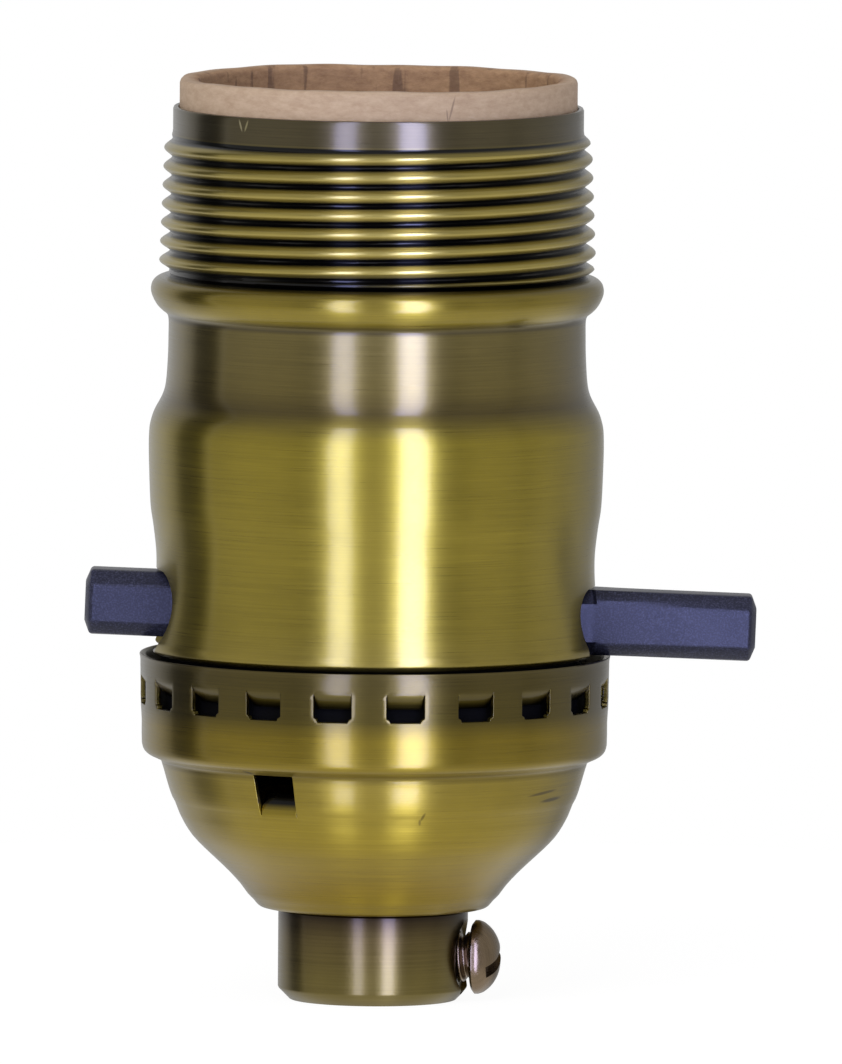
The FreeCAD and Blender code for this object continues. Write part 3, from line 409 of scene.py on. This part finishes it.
bowl_line = smooth_line([
    (6.3, 7.15), (7.6, 7.15), (8.55, 7.17), (8.95, 7.34), (9.3, 7.75), (9.75, 8.2), (10.3, 8.95),
    (11.17, 9.9), (12.14, 10.83), (13.14, 11.76), (14.03, 12.69), (14.65, 13.62),
    (15.05, 14.4)], 2)
bowl_line += smooth_line([
    (15.4, VENT_ROWS[0]), (15.62, 15.7), (15.84, 16.3), (16.08, VENT_ROWS[1]), (16.25, 17.7),
    (16.4, 18.2)], 2)[:-1]
corner_line = smooth_line([(16.42, 18.24), (16.55, VENT_ROWS[2]), (17.0, 18.8), (17.55, 19.06),
                           (17.86, 19.4), (17.98, 19.85)], 3)
band_line = [(18.0, 20.6), (18.0, 21.6), (18.04, 22.3), (18.07, 22.7)]
band_line += [(18.08, WINDOW_ROWS[0]), (18.09, WINDOW_ROWS[1]), (18.1, 23.6),
              (18.1, WINDOW_ROWS[2]), (18.1, 24.2), (18.1, 24.45), (18.11, 24.7), (18.11, 24.95),
              (18.12, WINDOW_ROWS[3]), (18.12, 25.5), (18.13, 25.85)]
rim_line = [(18.13, 26.2), (18.15, 26.5), (18.19, 26.66), (18.21, 26.75), (18.12, 26.8)]

cap_bm = bmesh.new()
cap_corners = [cap_bm.verts.new((radius * MM, 0, height * MM))
               for radius, height in bowl_line + corner_line + band_line + rim_line]
cap_edges = [cap_bm.edges.new(pair) for pair in zip(cap_corners, cap_corners[1:])]
bmesh.ops.rotate(cap_bm, cent=(0, 0, 0), verts=cap_corners,
                 matrix=Matrix.Rotation(WINDOW_TURN + math.radians(SECTOR_COLUMNS[0]), 3, "Z"))
sweep = cap_corners + cap_edges
for index in range(WINDOWS * len(SECTOR_COLUMNS)):
    here = index % len(SECTOR_COLUMNS)
    following = (SECTOR_COLUMNS[1:] + [SECTOR_HALF])[here]
    step = math.radians(following - SECTOR_COLUMNS[here])
    sweep = bmesh.ops.spin(cap_bm, geom=sweep, cent=(0, 0, 0), axis=(0, 0, 1), dvec=(0, 0, 0),
                           angle=step, steps=1)["geom_last"]
bmesh.ops.remove_doubles(cap_bm, verts=cap_bm.verts, dist=1e-7)
bmesh.ops.recalc_face_normals(cap_bm, faces=cap_bm.faces)


def sector_place(point):
    """(window number, degrees from that window's middle, height in mm)."""
    turn = math.degrees(math.atan2(point.y, point.x) - WINDOW_TURN) % 360
    number = round(turn / (2 * SECTOR_HALF)) % WINDOWS
    return number, (turn + SECTOR_HALF) % (2 * SECTOR_HALF) - SECTOR_HALF, point.z / MM


def lance(bm, faces_in, tongue_in, fixed_height, bend, narrower):
    """Cut a tongue free on three sides and bend it inwards from its fold."""
    faces = [face for face in bm.faces if faces_in(*sector_place(face.calc_center_median()))]
    tongue = [face for face in faces if tongue_in(face.calc_center_median().z / MM)]
    tongue_set = set(tongue)
    sides = [edge for edge in {edge for face in tongue for edge in face.edges}
             if sum(face in tongue_set for face in edge.link_faces) == 1
             and any(abs(vert.co.z / MM - fixed_height) > 0.01 for vert in edge.verts)]
    gone = [face for face in faces if face not in tongue_set]
    bmesh.ops.delete(bm, geom=gone, context="FACES_ONLY")
    bmesh.ops.split_edges(bm, edges=sides)
    for vert in {vert for face in tongue for vert in face.verts}:
        height = vert.co.z / MM
        radius = math.hypot(vert.co.x, vert.co.y)
        away = abs(height - fixed_height)
        if away < 0.01:
            continue
        offset = sector_place(vert.co)[1]
        turn = math.atan2(vert.co.y, vert.co.x) + math.radians(-offset * narrower)
        inner = radius - bend(away) * MM
        vert.co.x = inner * math.cos(turn)
        vert.co.y = inner * math.sin(turn)


def in_window(number, offset, height):
    return abs(offset) < WINDOW_HALF and WINDOW_ROWS[0] < height < WINDOW_ROWS[3]


def in_vent(number, offset, height):
    inside = number in VENT_WINDOWS and abs(offset) < VENT_HALF
    return inside and VENT_ROWS[0] < height < VENT_ROWS[2]


def in_open_window(number, offset, height):
    corner = abs(offset) > CORNER_COLUMN and height < WINDOW_ROWS[1] - 0.12
    return in_window(number, offset, height) and not corner


# The sheet that stays in the two lower corners of a window is rounded.
for vert in cap_bm.verts:
    _, offset, height = sector_place(vert.co)
    if abs(height - WINDOW_ROWS[1]) < 0.01 and abs(abs(offset) - CORNER_COLUMN) < 0.01:
        vert.co.z -= (WINDOW_ROWS[1] - WINDOW_ROWS[0]) * CORNER_SHARE * MM
        corner_turn = math.radians((WINDOW_HALF - CORNER_COLUMN) * CORNER_SHARE)
        bmesh.ops.rotate(cap_bm, cent=(0, 0, 0), verts=[vert],
                         matrix=Matrix.Rotation(math.copysign(corner_turn, offset), 3, "Z"))

lance(cap_bm, in_open_window, lambda height: height > WINDOW_ROWS[2], WINDOW_ROWS[3],
      lambda away: 0.95 * (away / 1.25) ** 1.35, 0.03)
lance(cap_bm, in_vent, lambda height: height < VENT_ROWS[1], VENT_ROWS[0],
      lambda away: 1.25 * (away / 1.8) ** 1.3, 0.03)
cap_piece = made_object("cap_drawing", cap_bm)
sheet = cap_piece.modifiers.new("sheet", "SOLIDIFY")
sheet.thickness = WALL * MM
sheet.offset = -1
sheet.use_even_offset = True
edge_roll = cap_piece.modifiers.new("edge_roll", "BEVEL")
edge_roll.width = ROLLED_EDGE * MM
edge_roll.segments = 4
edge_roll.limit_method = "ANGLE"
edge_roll.angle_limit = math.radians(50)
settle(cap_piece)
# Brass sheet, chemically darkened, brushed round and round and lacquered.  The
# # marks are a dark blot at a nick at the band, painted shade for a small dent on
# # the bowl, and two dark streaks on the bowl.  In its tone the dark line at the
# # shelf's corner is a painted shadow and the darker upper band a painted
# # reflection; the hollows paint the window tongues, the band's inside, the vent
# # flaps and the bowl's inside near them near black as painted shade.
cap_brass = brushed_brass("lacquered_cap_brass", [
    (7.2, "#846f10"), (9.5, "#8c7410"), (14, "#9c8726"), (18.2, "#9b8730"), (18.42, "#4e4118"),
    (18.65, "#8f7b24"), (21.5, "#8f7a1e"), (23, "#5f521b"), (26.8, "#5a4e22")],
    0.31, (9, 9, 0.09), 0.25, 0.4, spread=0.88,
    hollows=[(19.4, 27.2, 17.42, 0.0, 0.36), (15.4, 18.2, 15.1, 0.378, 0.2)],
    marks=[((-9.7, -14.3, 18.75), (0.6, 1.2, 0.12), -15, "#3a3012"),
           ((3.8, -15.1, 15.5), (0.45, 1.2, 0.12), 60, "#5e4e16"),
           ((3.55, -15.1, 15.05), (0.12, 1.2, 0.3), 0, "#66561c"),
           ((13.0, -9.2, 16.9), (2.4, 2.0, 0.14), 8, "#5a4c20"),
           ((13.9, -8.2, 16.3), (1.5, 2.0, 0.18), 5, "#4a3e1a")])
finish_piece(cap_piece, "holder", ["cap"], cap_brass, sharp=40)


# ---------------------------------------------------------------- interior
# Black phenolic blocks, brass strips and plated screws, all made as the frame
# has them.


def moulded_phenolic(name, light, dark, roughness, speckle_mm, peel, shine):
    """Moulded phenolic: dark, with a fine filler that shows as speckle, and a
    faint orange peel."""
    made, tree, shader = new_material(name)
    grains = stretched(tree, "ShaderNodeTexNoise", (speckle_mm,) * 3, in_Scale=1.0, in_Detail=2.0)
    clouds = stretched(tree, "ShaderNodeTexNoise", (4, 4, 4), in_Scale=1.0, in_Detail=3.0)
    speckle = ramp(tree, grains.outputs[0], [(0.45, colour(dark)), (0.72, colour(light))])
    tree.links.new(speckle, shader.inputs["Base Color"])
    rough = add(tree, "ShaderNodeMapRange", [(0, clouds.outputs[0])], in_1=0.3, in_2=0.7,
                in_3=roughness * 0.85, in_4=roughness * 1.2)
    tree.links.new(rough.outputs[0], shader.inputs["Roughness"])
    bump = add(tree, "ShaderNodeBump", [("Height", grains.outputs[0])], in_Strength=peel,
               in_Distance=0.00002)
    tree.links.new(bump.outputs[0], shader.inputs["Normal"])
    shader.inputs["Specular IOR Level"].default_value = shine
    return made


block_phenolic = moulded_phenolic("black_phenolic", "#34333a", "#141316", 0.42, 0.35, 0.3, 0.5)
# Rolled brass strip, left bright: pale yellow and satin.
strip_brass = brushed_brass("rolled_contact_brass", [(0, "#bf9f54"), (72, "#bf9f54")], 0.25,
                            (6, 6, 0.15), 0.2, 0.0)
# Zinc on steel: pale grey, with a duller gleam than the brass.
zinc_plate = brushed_brass("zinc_plated_steel", [(0, "#aeb0b4"), (72, "#aeb0b4")], 0.28,
                           (1.5, 1.5, 0.2), 0.2, 0.0)
CAD_FINISHES = {
    "base_block": block_phenolic, "switch_cover": block_phenolic,
    "spring_plunger": strip_brass, "rocker": strip_brass, "rocker_bracket": strip_brass,
    "fixed_contact": strip_brass, "line_terminal": strip_brass, "neutral_terminal": strip_brass,
    "line_terminal_screw": strip_brass, "centre_contact": strip_brass,
    "centre_contact_rivet": strip_brass, "neutral_terminal_screw": zinc_plate,
    "assembly_screws": zinc_plate, "switch_spring": zinc_plate,
}
for node, finish in CAD_FINISHES.items():
    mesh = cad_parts[node].data
    mesh.materials.clear()
    mesh.materials.append(finish)


# ---------------------------------------------------------------- push bar
# One moulded phenolic bar, octagonal in section with softened edges, narrower
# between its two buttons and slightly domed at the ends.
BAR_HEIGHT = 30.05
BAR_TILT = math.radians(2)
BAR_ENDS = (-22.5, 29.5)
BUTTON = 12.5
BAR_HALF = 2.52
WEB_HALF = 2.2
BAR_CHAMFER = 1.05 * math.sqrt(2)
WEB_STEP = 0.25
END_FLAT = 0.9
END_DOME = 0.085
bar_place = Matrix.Translation((0, 0, BAR_HEIGHT * MM)) @ Matrix.Rotation(BAR_TILT, 4, "Y")


def octagon_bar(start, end, half_depth, half_height, chamfer):
    """Bar along X whose long edges are chamfered."""
    bm = bmesh.new()
    bmesh.ops.create_cube(bm, size=1, matrix=(
        Matrix.Translation(((start + end) / 2 * MM, 0, 0))
        @ Matrix.Diagonal(((end - start) * MM, half_depth * 2 * MM, half_height * 2 * MM, 1))))
    long_edges = [edge for edge in bm.edges
                  if abs(edge.verts[0].co.x - edge.verts[1].co.x) > 1 * MM]
    bmesh.ops.bevel(bm, geom=long_edges, offset=chamfer * MM, offset_type="WIDTH",
                    affect="EDGES", segments=1, profile=0.5, material=-1)
    return bm


bar_bm = octagon_bar(BAR_ENDS[0], BAR_ENDS[1], BAR_HALF, BAR_HALF, BAR_CHAMFER)
for x in (BAR_ENDS[0] + BUTTON, BAR_ENDS[1] - BUTTON):
    for cut in (x, x + math.copysign(WEB_STEP, -x)):
        bmesh.ops.bisect_plane(bar_bm, geom=bar_bm.verts[:] + bar_bm.edges[:] + bar_bm.faces[:],
                               plane_co=(cut * MM, 0, 0), plane_no=(1, 0, 0))
for vert in bar_bm.verts:
    if BAR_ENDS[0] + BUTTON + 0.1 < vert.co.x / MM < BAR_ENDS[1] - BUTTON - 0.1:
        vert.co.y *= WEB_HALF / BAR_HALF
bmesh.ops.bevel(bar_bm, geom=[edge for edge in bar_bm.edges if edge.calc_face_angle(0) > 0.3],
                offset=0.22 * MM, offset_type="OFFSET", affect="EDGES", segments=3, profile=0.5,
                material=-1)
for end, sign in ((BAR_ENDS[0], -1), (BAR_ENDS[1], 1)):
    face = max(bar_bm.faces, key=lambda f: sign * f.calc_center_median().x)
    bmesh.ops.inset_region(bar_bm, faces=[face], thickness=END_FLAT * MM)
    for vert in bar_bm.verts:
        out = sign * (vert.co.x / MM - end)
        if out > -0.3:
            reach = math.hypot(vert.co.y, vert.co.z) / MM
            vert.co.x -= sign * END_DOME * max(reach ** 2 - 2.5, 0) * MM
bmesh.ops.transform(bar_bm, matrix=bar_place, verts=bar_bm.verts)
bar_bm.normal_update()
bar_piece = made_object("push_bar_moulding", bar_bm)
bore = rod("bore", 1.25, -1.6, 4.0, steps=32, turn=(
    bar_place @ Matrix.Translation((3.5 * MM, 0, 0)) @ Matrix.Rotation(-math.pi / 2, 4, "Y")))
carve(bar_piece, bore)
# Blue-black phenolic, rubbed to a dull sheen.
bar_phenolic = moulded_phenolic("blue_black_phenolic", "#43455e", "#272839", 0.26, 0.13, 0.08,
                                0.15)
finish_piece(bar_piece, "push_bar", ["push_bar"], bar_phenolic, sharp=40)


# ---------------------------------------------------------------- shell
# Spun and rolled from brass sheet: plain lip, rolled thread for a shade ring,
# bead, neck, shoulder, barrel, waist, and a skirt that snaps into the cap.
# The bar's two holes are punched through it.
LIP_TOP = 69.2
THREAD_TOP = 67.15
THREAD_BOTTOM = 56.25
THREAD_PITCH = 1.45
THREAD_ROWS = 96
body_line = smooth_line([
    (16.6, 21.2), (17.2, 21.5), (17.2, 22.1), (16.6, 22.5), (16.6, 23.5), (16.6, 25.5),
    (16.62, 26.6), (17.35, 27.0), (17.76, 27.2), (17.87, 27.45), (17.87, 27.9), (17.76, 28.3),
    (17.47, 29.4), (17.2, 30.6), (17.02, 31.9), (16.94, 33.2), (16.95, 34.5), (17.05, 35.6),
    (17.22, 36.9), (17.38, 37.9), (17.47, 39.0), (17.55, 41.1), (17.59, 42.9), (17.55, 44.2),
    (17.43, 44.85), (17.26, 45.4), (17.08, 45.8), (16.83, 46.25), (16.6, 46.7), (16.43, 47.15),
    (16.31, 47.7), (16.22, 48.6), (16.14, 50.2), (16.12, 51.6), (16.12, 52.6), (16.24, 53.1),
    (16.62, 53.42), (17.0, 53.8), (17.3, 54.3), (17.48, 54.8), (17.48, 55.25), (17.32, 55.65),
    (16.95, 55.95), (16.4, 56.12), (16.05, THREAD_BOTTOM)], 3)
row_height = (THREAD_TOP - THREAD_BOTTOM) / THREAD_ROWS
thread_line = [(16.2, THREAD_BOTTOM + row_height * row) for row in range(1, THREAD_ROWS)]
lip_line = [(15.9, THREAD_TOP), (15.87, 67.4), (15.87, 68.2), (15.87, 69.0), (15.8, 69.15),
            (15.65, LIP_TOP), (15.5, 69.15), (15.42, 69.0)]
inside_line = [(15.42, 62.0), (15.42, 56.5), (16.4, 55.8), (16.9, 55.0), (16.4, 54.2),
               (15.67, 53.0), (15.67, 48.9), (15.9, 47.0), (16.7, 45.5), (17.1, 43.0),
               (17.0, 40.0), (16.5, 34.5), (16.6, 32.0), (17.2, 29.0), (17.3, 27.8),
               (16.15, 26.9), (16.15, 21.2)]
shell_bm = spun(body_line + thread_line + lip_line + inside_line, 240)


def shade_thread(turn, height):
    """Rolled thread: broad rounded crests, narrow roots, run out at both ends."""
    share = (height - THREAD_BOTTOM) / (THREAD_TOP - THREAD_BOTTOM)
    root = 16.08 - 0.2 * share
    crest = 16.92 - 0.42 * share
    fade = min(1, (height - THREAD_BOTTOM) / 0.5, (THREAD_TOP - height) / 0.7)
    wave = (0.5 + 0.5 * math.cos(2 * math.pi * turn)) ** 0.8
    return root + (crest - root) * wave * max(fade, 0)


roll_thread(shell_bm, THREAD_BOTTOM + 0.01, THREAD_TOP - 0.01, THREAD_PITCH, shade_thread,
            lambda radius: abs(radius - 16.2) < 0.01)
shell_piece = made_object("shell_drawing", shell_bm)
# The holes are obround and in line with the tilted bar.
HOLE_CENTRE = 29.56
HOLE_TALL = 3.25
HOLE_WIDE = 7.1
punch_bm = bmesh.new()
hole_corners = []
for side in (1, -1):
    for step in range(17):
        turn = math.pi * (step / 16 - 0.5)
        hole_corners.append(punch_bm.verts.new((
            -40 * MM, side * (HOLE_WIDE - HOLE_TALL + HOLE_TALL * math.cos(turn)) * MM,
            (HOLE_CENTRE + side * HOLE_TALL * math.sin(turn)) * MM)))
hole_face = punch_bm.faces.new(hole_corners)
pushed = bmesh.ops.extrude_face_region(punch_bm, geom=[hole_face])["geom"]
bmesh.ops.translate(punch_bm, vec=(80 * MM, 0, 0),
                    verts=[item for item in pushed if isinstance(item, bmesh.types.BMVert)])
bmesh.ops.rotate(punch_bm, cent=(0, 0, 0), verts=punch_bm.verts,
                 matrix=Matrix.Rotation(BAR_TILT, 3, "Y"))
bmesh.ops.recalc_face_normals(punch_bm, faces=punch_bm.faces)
carve(shell_piece, made_object("punch", punch_bm))
# The same brass as the cap's; the marks are a scratch on the lip.  Its tone has
# # painted shade in the gap under the cap's rim and under the bead, and painted
# # reflection of darker surroundings on the shoulder and on the bead's upper side;
# # the neck is greyer and the lip darker.  The hollows paint the thread's roots
# # near black as painted shade.
shell_brass = brushed_brass("lacquered_shell_brass", [
    (26.7, "#2a2310"), (26.95, "#7d6c2c"), (27.15, "#9c8a38"), (30, "#9f8d30"), (44.5, "#9f8d2a"),
    (45.6, "#86762a"), (46.6, "#615326"), (48.5, "#7b6c36"), (52.6, "#7d6f3c"), (53.0, "#40382a"),
    (53.5, "#9a882e"), (55.6, "#938028"), (56.2, "#5f542c"), (57, "#b8a654"), (66.5, "#b09e50"),
    (67.2, "#5a5034"), (69.2, "#5c5236")],
    0.31, (9, 9, 0.09), 0.25, 0.5, spread=0.88,
    hollows=[(56.1, 67.0, 16.43, -0.0284, 0.1)],
    marks=[((-10.6, -11.8, 68.55), (0.08, 1.0, 0.55), 14, "#a89e7c"),
           ((-10.15, -12.1, 68.55), (0.08, 1.0, 0.55), -16, "#a0966f")])
finish_piece(shell_piece, "holder", ["shell"], shell_brass, sharp=40)
# Painted shade: inside the cap the shell's skirt is painted near black and matt,
# # so that the windows look dark.
SKIRT_TOP = 26.8
skirt_painted_shade, _, dark_shader = new_material("skirt_painted_shade")
dark_shader.inputs["Base Color"].default_value = colour("#0b0a08")
dark_shader.inputs["Roughness"].default_value = 0.9
dark_shader.inputs["Specular IOR Level"].default_value = 0.08
shell_piece.data.materials.append(skirt_painted_shade)
for face in shell_piece.data.polygons:
    if face.center.z < SKIRT_TOP * MM:
        face.material_index = 1


# ---------------------------------------------------------------- shell liner
# A tube rolled from brown fibre paper that keeps the shell off the live parts
# and stands proud of the lip; notched from below for the bar.
LINER_OUTER = 15.37
LINER_INNER = 13.87
LINER_TOP = 71.5
liner_rows = [(LINER_OUTER, 21.2 + 12 * step) for step in range(4)]
liner_rows += [(LINER_OUTER, 62.0), (LINER_OUTER, 69.4)]
liner_rows += [(LINER_OUTER, 69.4 + 0.35 * step) for step in range(1, 6)]
liner_rows += [(15.3, 71.35), (15.18, 71.47), (14.9, LINER_TOP), (14.35, LINER_TOP),
               (14.05, 71.42), (13.92, 71.3)]
liner_rows += [(LINER_INNER, 71.1 - 0.5 * step) for step in range(24)]
liner_rows += [(LINER_INNER, 50.0), (LINER_INNER, 21.2)]
liner_bm = spun(liner_rows, 200)
for vert in liner_bm.verts:
    if vert.co.z / MM > 70:
        turn = math.atan2(vert.co.y, vert.co.x)
        vert.co.z += (0.05 * math.sin(3 * turn + 1) + 0.03 * math.sin(7 * turn)
                      + 0.02 * math.sin(17 * turn + 2) - 0.1) * MM
liner_piece = made_object("shell_liner_tube", liner_bm)
notch_bm = bmesh.new()
bmesh.ops.create_cube(notch_bm, size=1, matrix=(
    Matrix.Translation((0, 0, 26 * MM)) @ Matrix.Diagonal((60 * MM, 14.6 * MM, 16 * MM, 1))))
carve(liner_piece, made_object("notch", notch_bm))


def fibre_paper(name):
    """Brown fibre board: matt, with long fibres, darker inside with dark streaks up
    and down, and a hairline crack at the front."""
    made, tree, shader = new_material(name)
    fibres = stretched(tree, "ShaderNodeTexNoise", (1.2, 1.2, 0.5), in_Scale=1.0, in_Detail=6.0,
                       in_Roughness=0.75)
    clouds = stretched(tree, "ShaderNodeTexNoise", (8, 8, 3), in_Scale=1.0, in_Detail=3.0)
    tan = ramp(tree, fibres.outputs[0], [(0.3, colour("#ad9277")), (0.7, colour("#c6ad93"))])
    brown = ramp(tree, fibres.outputs[0], [(0.3, colour("#8d6b4c")), (0.7, colour("#b8946f"))])
    side = add(tree, "ShaderNodeMapRange", [(0, round_axis(tree)[0])],
               in_1=14.1 * MM, in_2=14.8 * MM)
    streak_noise = stretched(tree, "ShaderNodeTexNoise", (1.1, 1.1, 9), in_Scale=1.0, in_Detail=4.0)
    dark_streaks = ramp(tree, streak_noise.outputs[0], [(0.36, colour("#4a3424")), (0.42, (1, 1, 1, 1))])
    brown = tinted(tree, 0.45, brown, dark_streaks, "MULTIPLY")
    paper = marked(tree, tinted(tree, side.outputs[0], brown, tan), [
        ((5.65, -14.3, 70.1), (0.09, 1.2, 1.2), -14, "#8d7560"),
        ((5.3, -14.4, 69.6), (0.07, 1.2, 0.6), 6, "#8d7560")])
    tree.links.new(paper, shader.inputs["Base Color"])
    shader.inputs["Roughness"].default_value = 0.85
    relief = add(tree, "ShaderNodeMix", [(2, fibres.outputs[0]), (3, clouds.outputs[0])],
                 data_type="FLOAT", in_0=0.3)
    bump = add(tree, "ShaderNodeBump", [("Height", relief.outputs[0])], in_Strength=0.5,
               in_Distance=0.0001)
    tree.links.new(bump.outputs[0], shader.inputs["Normal"])
    return made


finish_piece(liner_piece, "holder", ["shell_liner"], fibre_paper("fibre_paper"))


# ---------------------------------------------------------------- screw shell
# Thin brass cup with the rolled thread for a medium lamp, held down by the two
# assembly screws.
CUP_BOTTOM = 46.55
CUP_TOP = 63.65
CUP_PITCH = 3.63
CUP_ROWS = 80
cup_step = (CUP_TOP - 0.4 - CUP_BOTTOM - 1.2) / CUP_ROWS
cup_inside = [(13.0, CUP_BOTTOM + 1.2 + cup_step * row) for row in range(CUP_ROWS)]
cup_bm = spun([(7.5, CUP_BOTTOM), (7.5, CUP_BOTTOM + 0.35), (12.5, CUP_BOTTOM + 0.35),
               (12.9, CUP_BOTTOM + 0.8)] + cup_inside
              + [(13.2, CUP_TOP - 0.4), (13.4, CUP_TOP), (13.6, CUP_TOP - 0.3)]
              + [(13.5, height) for _, height in cup_inside[::-1]]
              + [(13.3, CUP_BOTTOM + 0.6), (13.0, CUP_BOTTOM)], 160)


def lamp_thread(turn, height):
    return 12.8 + 0.42 * math.cos(2 * math.pi * turn)


roll_thread(cup_bm, CUP_BOTTOM + 1.1, CUP_TOP - 0.45, CUP_PITCH, lamp_thread,
            lambda radius: abs(radius - 13.0) < 0.01)
roll_thread(cup_bm, CUP_BOTTOM + 1.1, CUP_TOP - 0.45, CUP_PITCH,
            lambda turn, height: lamp_thread(turn, height) + 0.35,
            lambda radius: abs(radius - 13.5) < 0.01)
CUP_HOLE = (7.4, -6.2)
CUP_HOLE_RADIUS = 1.35
cup_holes = []
for side in (1, -1):
    hole_bm = bmesh.new()
    bmesh.ops.create_cone(hole_bm, cap_ends=True, segments=32, radius1=CUP_HOLE_RADIUS * MM,
                          radius2=CUP_HOLE_RADIUS * MM, depth=3 * MM, matrix=Matrix.Translation(
                              (CUP_HOLE[0] * side * MM, CUP_HOLE[1] * side * MM,
                               CUP_BOTTOM * MM)))
    cup_holes.append(made_object("hole", hole_bm))
cup_piece = carve(made_object("screw_shell_rolling", cup_bm), *cup_holes)
finish_piece(cup_piece, "holder", ["screw_shell"], strip_brass)


# ---------------------------------------------------------------- floor, lights
# A white floor that keeps the holder's shadow and a white backdrop.  The brass
# reflects a small studio: grey walls with dark gaps, white from below, and two
# tall strips near the camera, bluish so that yellow brass shows them nearly
# white.  A soft box lights what is matt.
FLOOR_RADIUS = 0.13
FLOOR_GLOW = 1.1
GLOW_SHARE = 0.85
STRIP_HEIGHT = 1.1
STRIP_DISTANCE = 0.6
STRIP_RISE = 0.06
STRIP_COLOUR = (0.62, 0.69, 1.5)
BOX_SIZE = 0.5
BOX_STRENGTH = 3.6
BOX_PLACE = (-0.25, -0.65, 0.4)
floor_bm = bmesh.new()
bmesh.ops.create_circle(floor_bm, cap_ends=True, segments=96, radius=FLOOR_RADIUS)
floor = made_object("floor", floor_bm)
floor_paint, floor_tree, floor_shader = new_material("white_floor")
floor_shader.inputs["Base Color"].default_value = colour("#e6e6e6")
floor_shader.inputs["Roughness"].default_value = 0.9
light_path = add(floor_tree, "ShaderNodeLightPath")
glow = add(floor_tree, "ShaderNodeEmission", in_Color=(1, 1, 1, 1), in_Strength=FLOOR_GLOW)
shown = add(floor_tree, "ShaderNodeMath", [(0, light_path.outputs["Is Camera Ray"]),
                                           (1, light_path.outputs["Is Glossy Ray"])],
            operation="MAXIMUM")
shown = add(floor_tree, "ShaderNodeMath", [(0, shown.outputs[0]),
                                           (1, light_path.outputs["Is Transmission Ray"])],
            operation="MAXIMUM")
keep_shadow = add(floor_tree, "ShaderNodeMath", [(0, shown.outputs[0])],
                  operation="MULTIPLY", in_1=GLOW_SHARE)
floor_mix = add(floor_tree, "ShaderNodeMixShader", [
    (0, keep_shadow.outputs[0]), (1, floor_shader.outputs[0]), (2, glow.outputs[0])])
floor_tree.links.new(floor_mix.outputs[0], floor_tree.nodes["Material Output"].inputs[0])
floor.data.materials.append(floor_paint)
floor.visible_glossy = False
floor.visible_shadow = False

world = bpy.data.worlds.new("studio")
bpy.context.scene.world = world
world.use_nodes = True
sky = world.node_tree
direction = add(sky, "ShaderNodeTexCoord").outputs["Generated"]
split = add(sky, "ShaderNodeSeparateXYZ", [(0, direction)])
round_turn = add(sky, "ShaderNodeMath", [(0, split.outputs[0]), (1, split.outputs[1])],
                 operation="ARCTAN2")
turn_share = add(sky, "ShaderNodeMapRange", [(0, round_turn.outputs[0])], in_1=-math.pi,
                 in_2=math.pi)
WALLS = [(0.0, 0.67), (0.05, 0.67), (0.11, 0.50), (0.135, 0.63), (0.20, 0.67), (0.245, 0.60),
         (0.254, 0.52), (0.262, 0.95), (0.270, 0.45), (0.283, 0.10), (0.33, 0.09), (0.35, 0.45),
         (0.38, 0.62), (0.48, 0.50), (0.58, 0.33), (0.65, 0.50), (0.73, 0.62), (0.775, 0.50),
         (0.79, 0.62), (0.85, 0.64), (0.875, 0.46), (0.905, 0.48), (0.915, 0.66), (1.0, 0.67)]
walls = ramp(sky, turn_share.outputs[0], WALLS)
below = add(sky, "ShaderNodeMapRange", [(0, split.outputs[2])], in_1=-0.35, in_2=-0.62)
walls = tinted(sky, below.outputs[0], walls, (1, 1, 1, 1))
seen = add(sky, "ShaderNodeLightPath").outputs["Is Camera Ray"]
sky.links.new(tinted(sky, seen, walls, (1, 1, 1, 1)), sky.nodes["Background"].inputs[0])
sky.nodes["Background"].inputs[1].default_value = 1.0


def area_light(name, place, size, strength):
    """Soft light of a width and height, in metres, that the camera doesn't see."""
    data = bpy.data.lights.new(name, "AREA")
    data.shape = "RECTANGLE"
    data.size, data.size_y = size
    data.energy = strength * size[0] * size[1] * math.pi
    lamp = bpy.data.objects.new(name, data)
    bpy.context.scene.collection.objects.link(lamp)
    lamp.location = place
    lamp.visible_camera = False
    return lamp


def strip_light(name, turn, width, strength):
    """Tall strip that is seen in reflections only, at an angle off the camera."""
    angle = math.radians(turn)
    towards = Vector((math.sin(angle), -math.cos(angle), 0))
    lamp = area_light(name, aim + towards * STRIP_DISTANCE + Vector((0, 0, STRIP_RISE)),
                      (width, STRIP_HEIGHT), strength)
    lamp.data.color = STRIP_COLOUR
    lamp.rotation_euler = towards.to_track_quat("Z", "Y").to_euler()
    lamp.visible_diffuse = False


strip_light("left_strip", -18.5, 0.125, 6.3)
strip_light("right_strip", 19.0, 0.155, 10.5)
soft_box = area_light("soft_box", aim + Vector(BOX_PLACE), (BOX_SIZE, BOX_SIZE), BOX_STRENGTH)
soft_box.rotation_euler = Vector(BOX_PLACE).to_track_quat("Z", "Y").to_euler()
soft_box.visible_glossy = False

bpy.context.scene.view_settings.view_transform = "Standard"
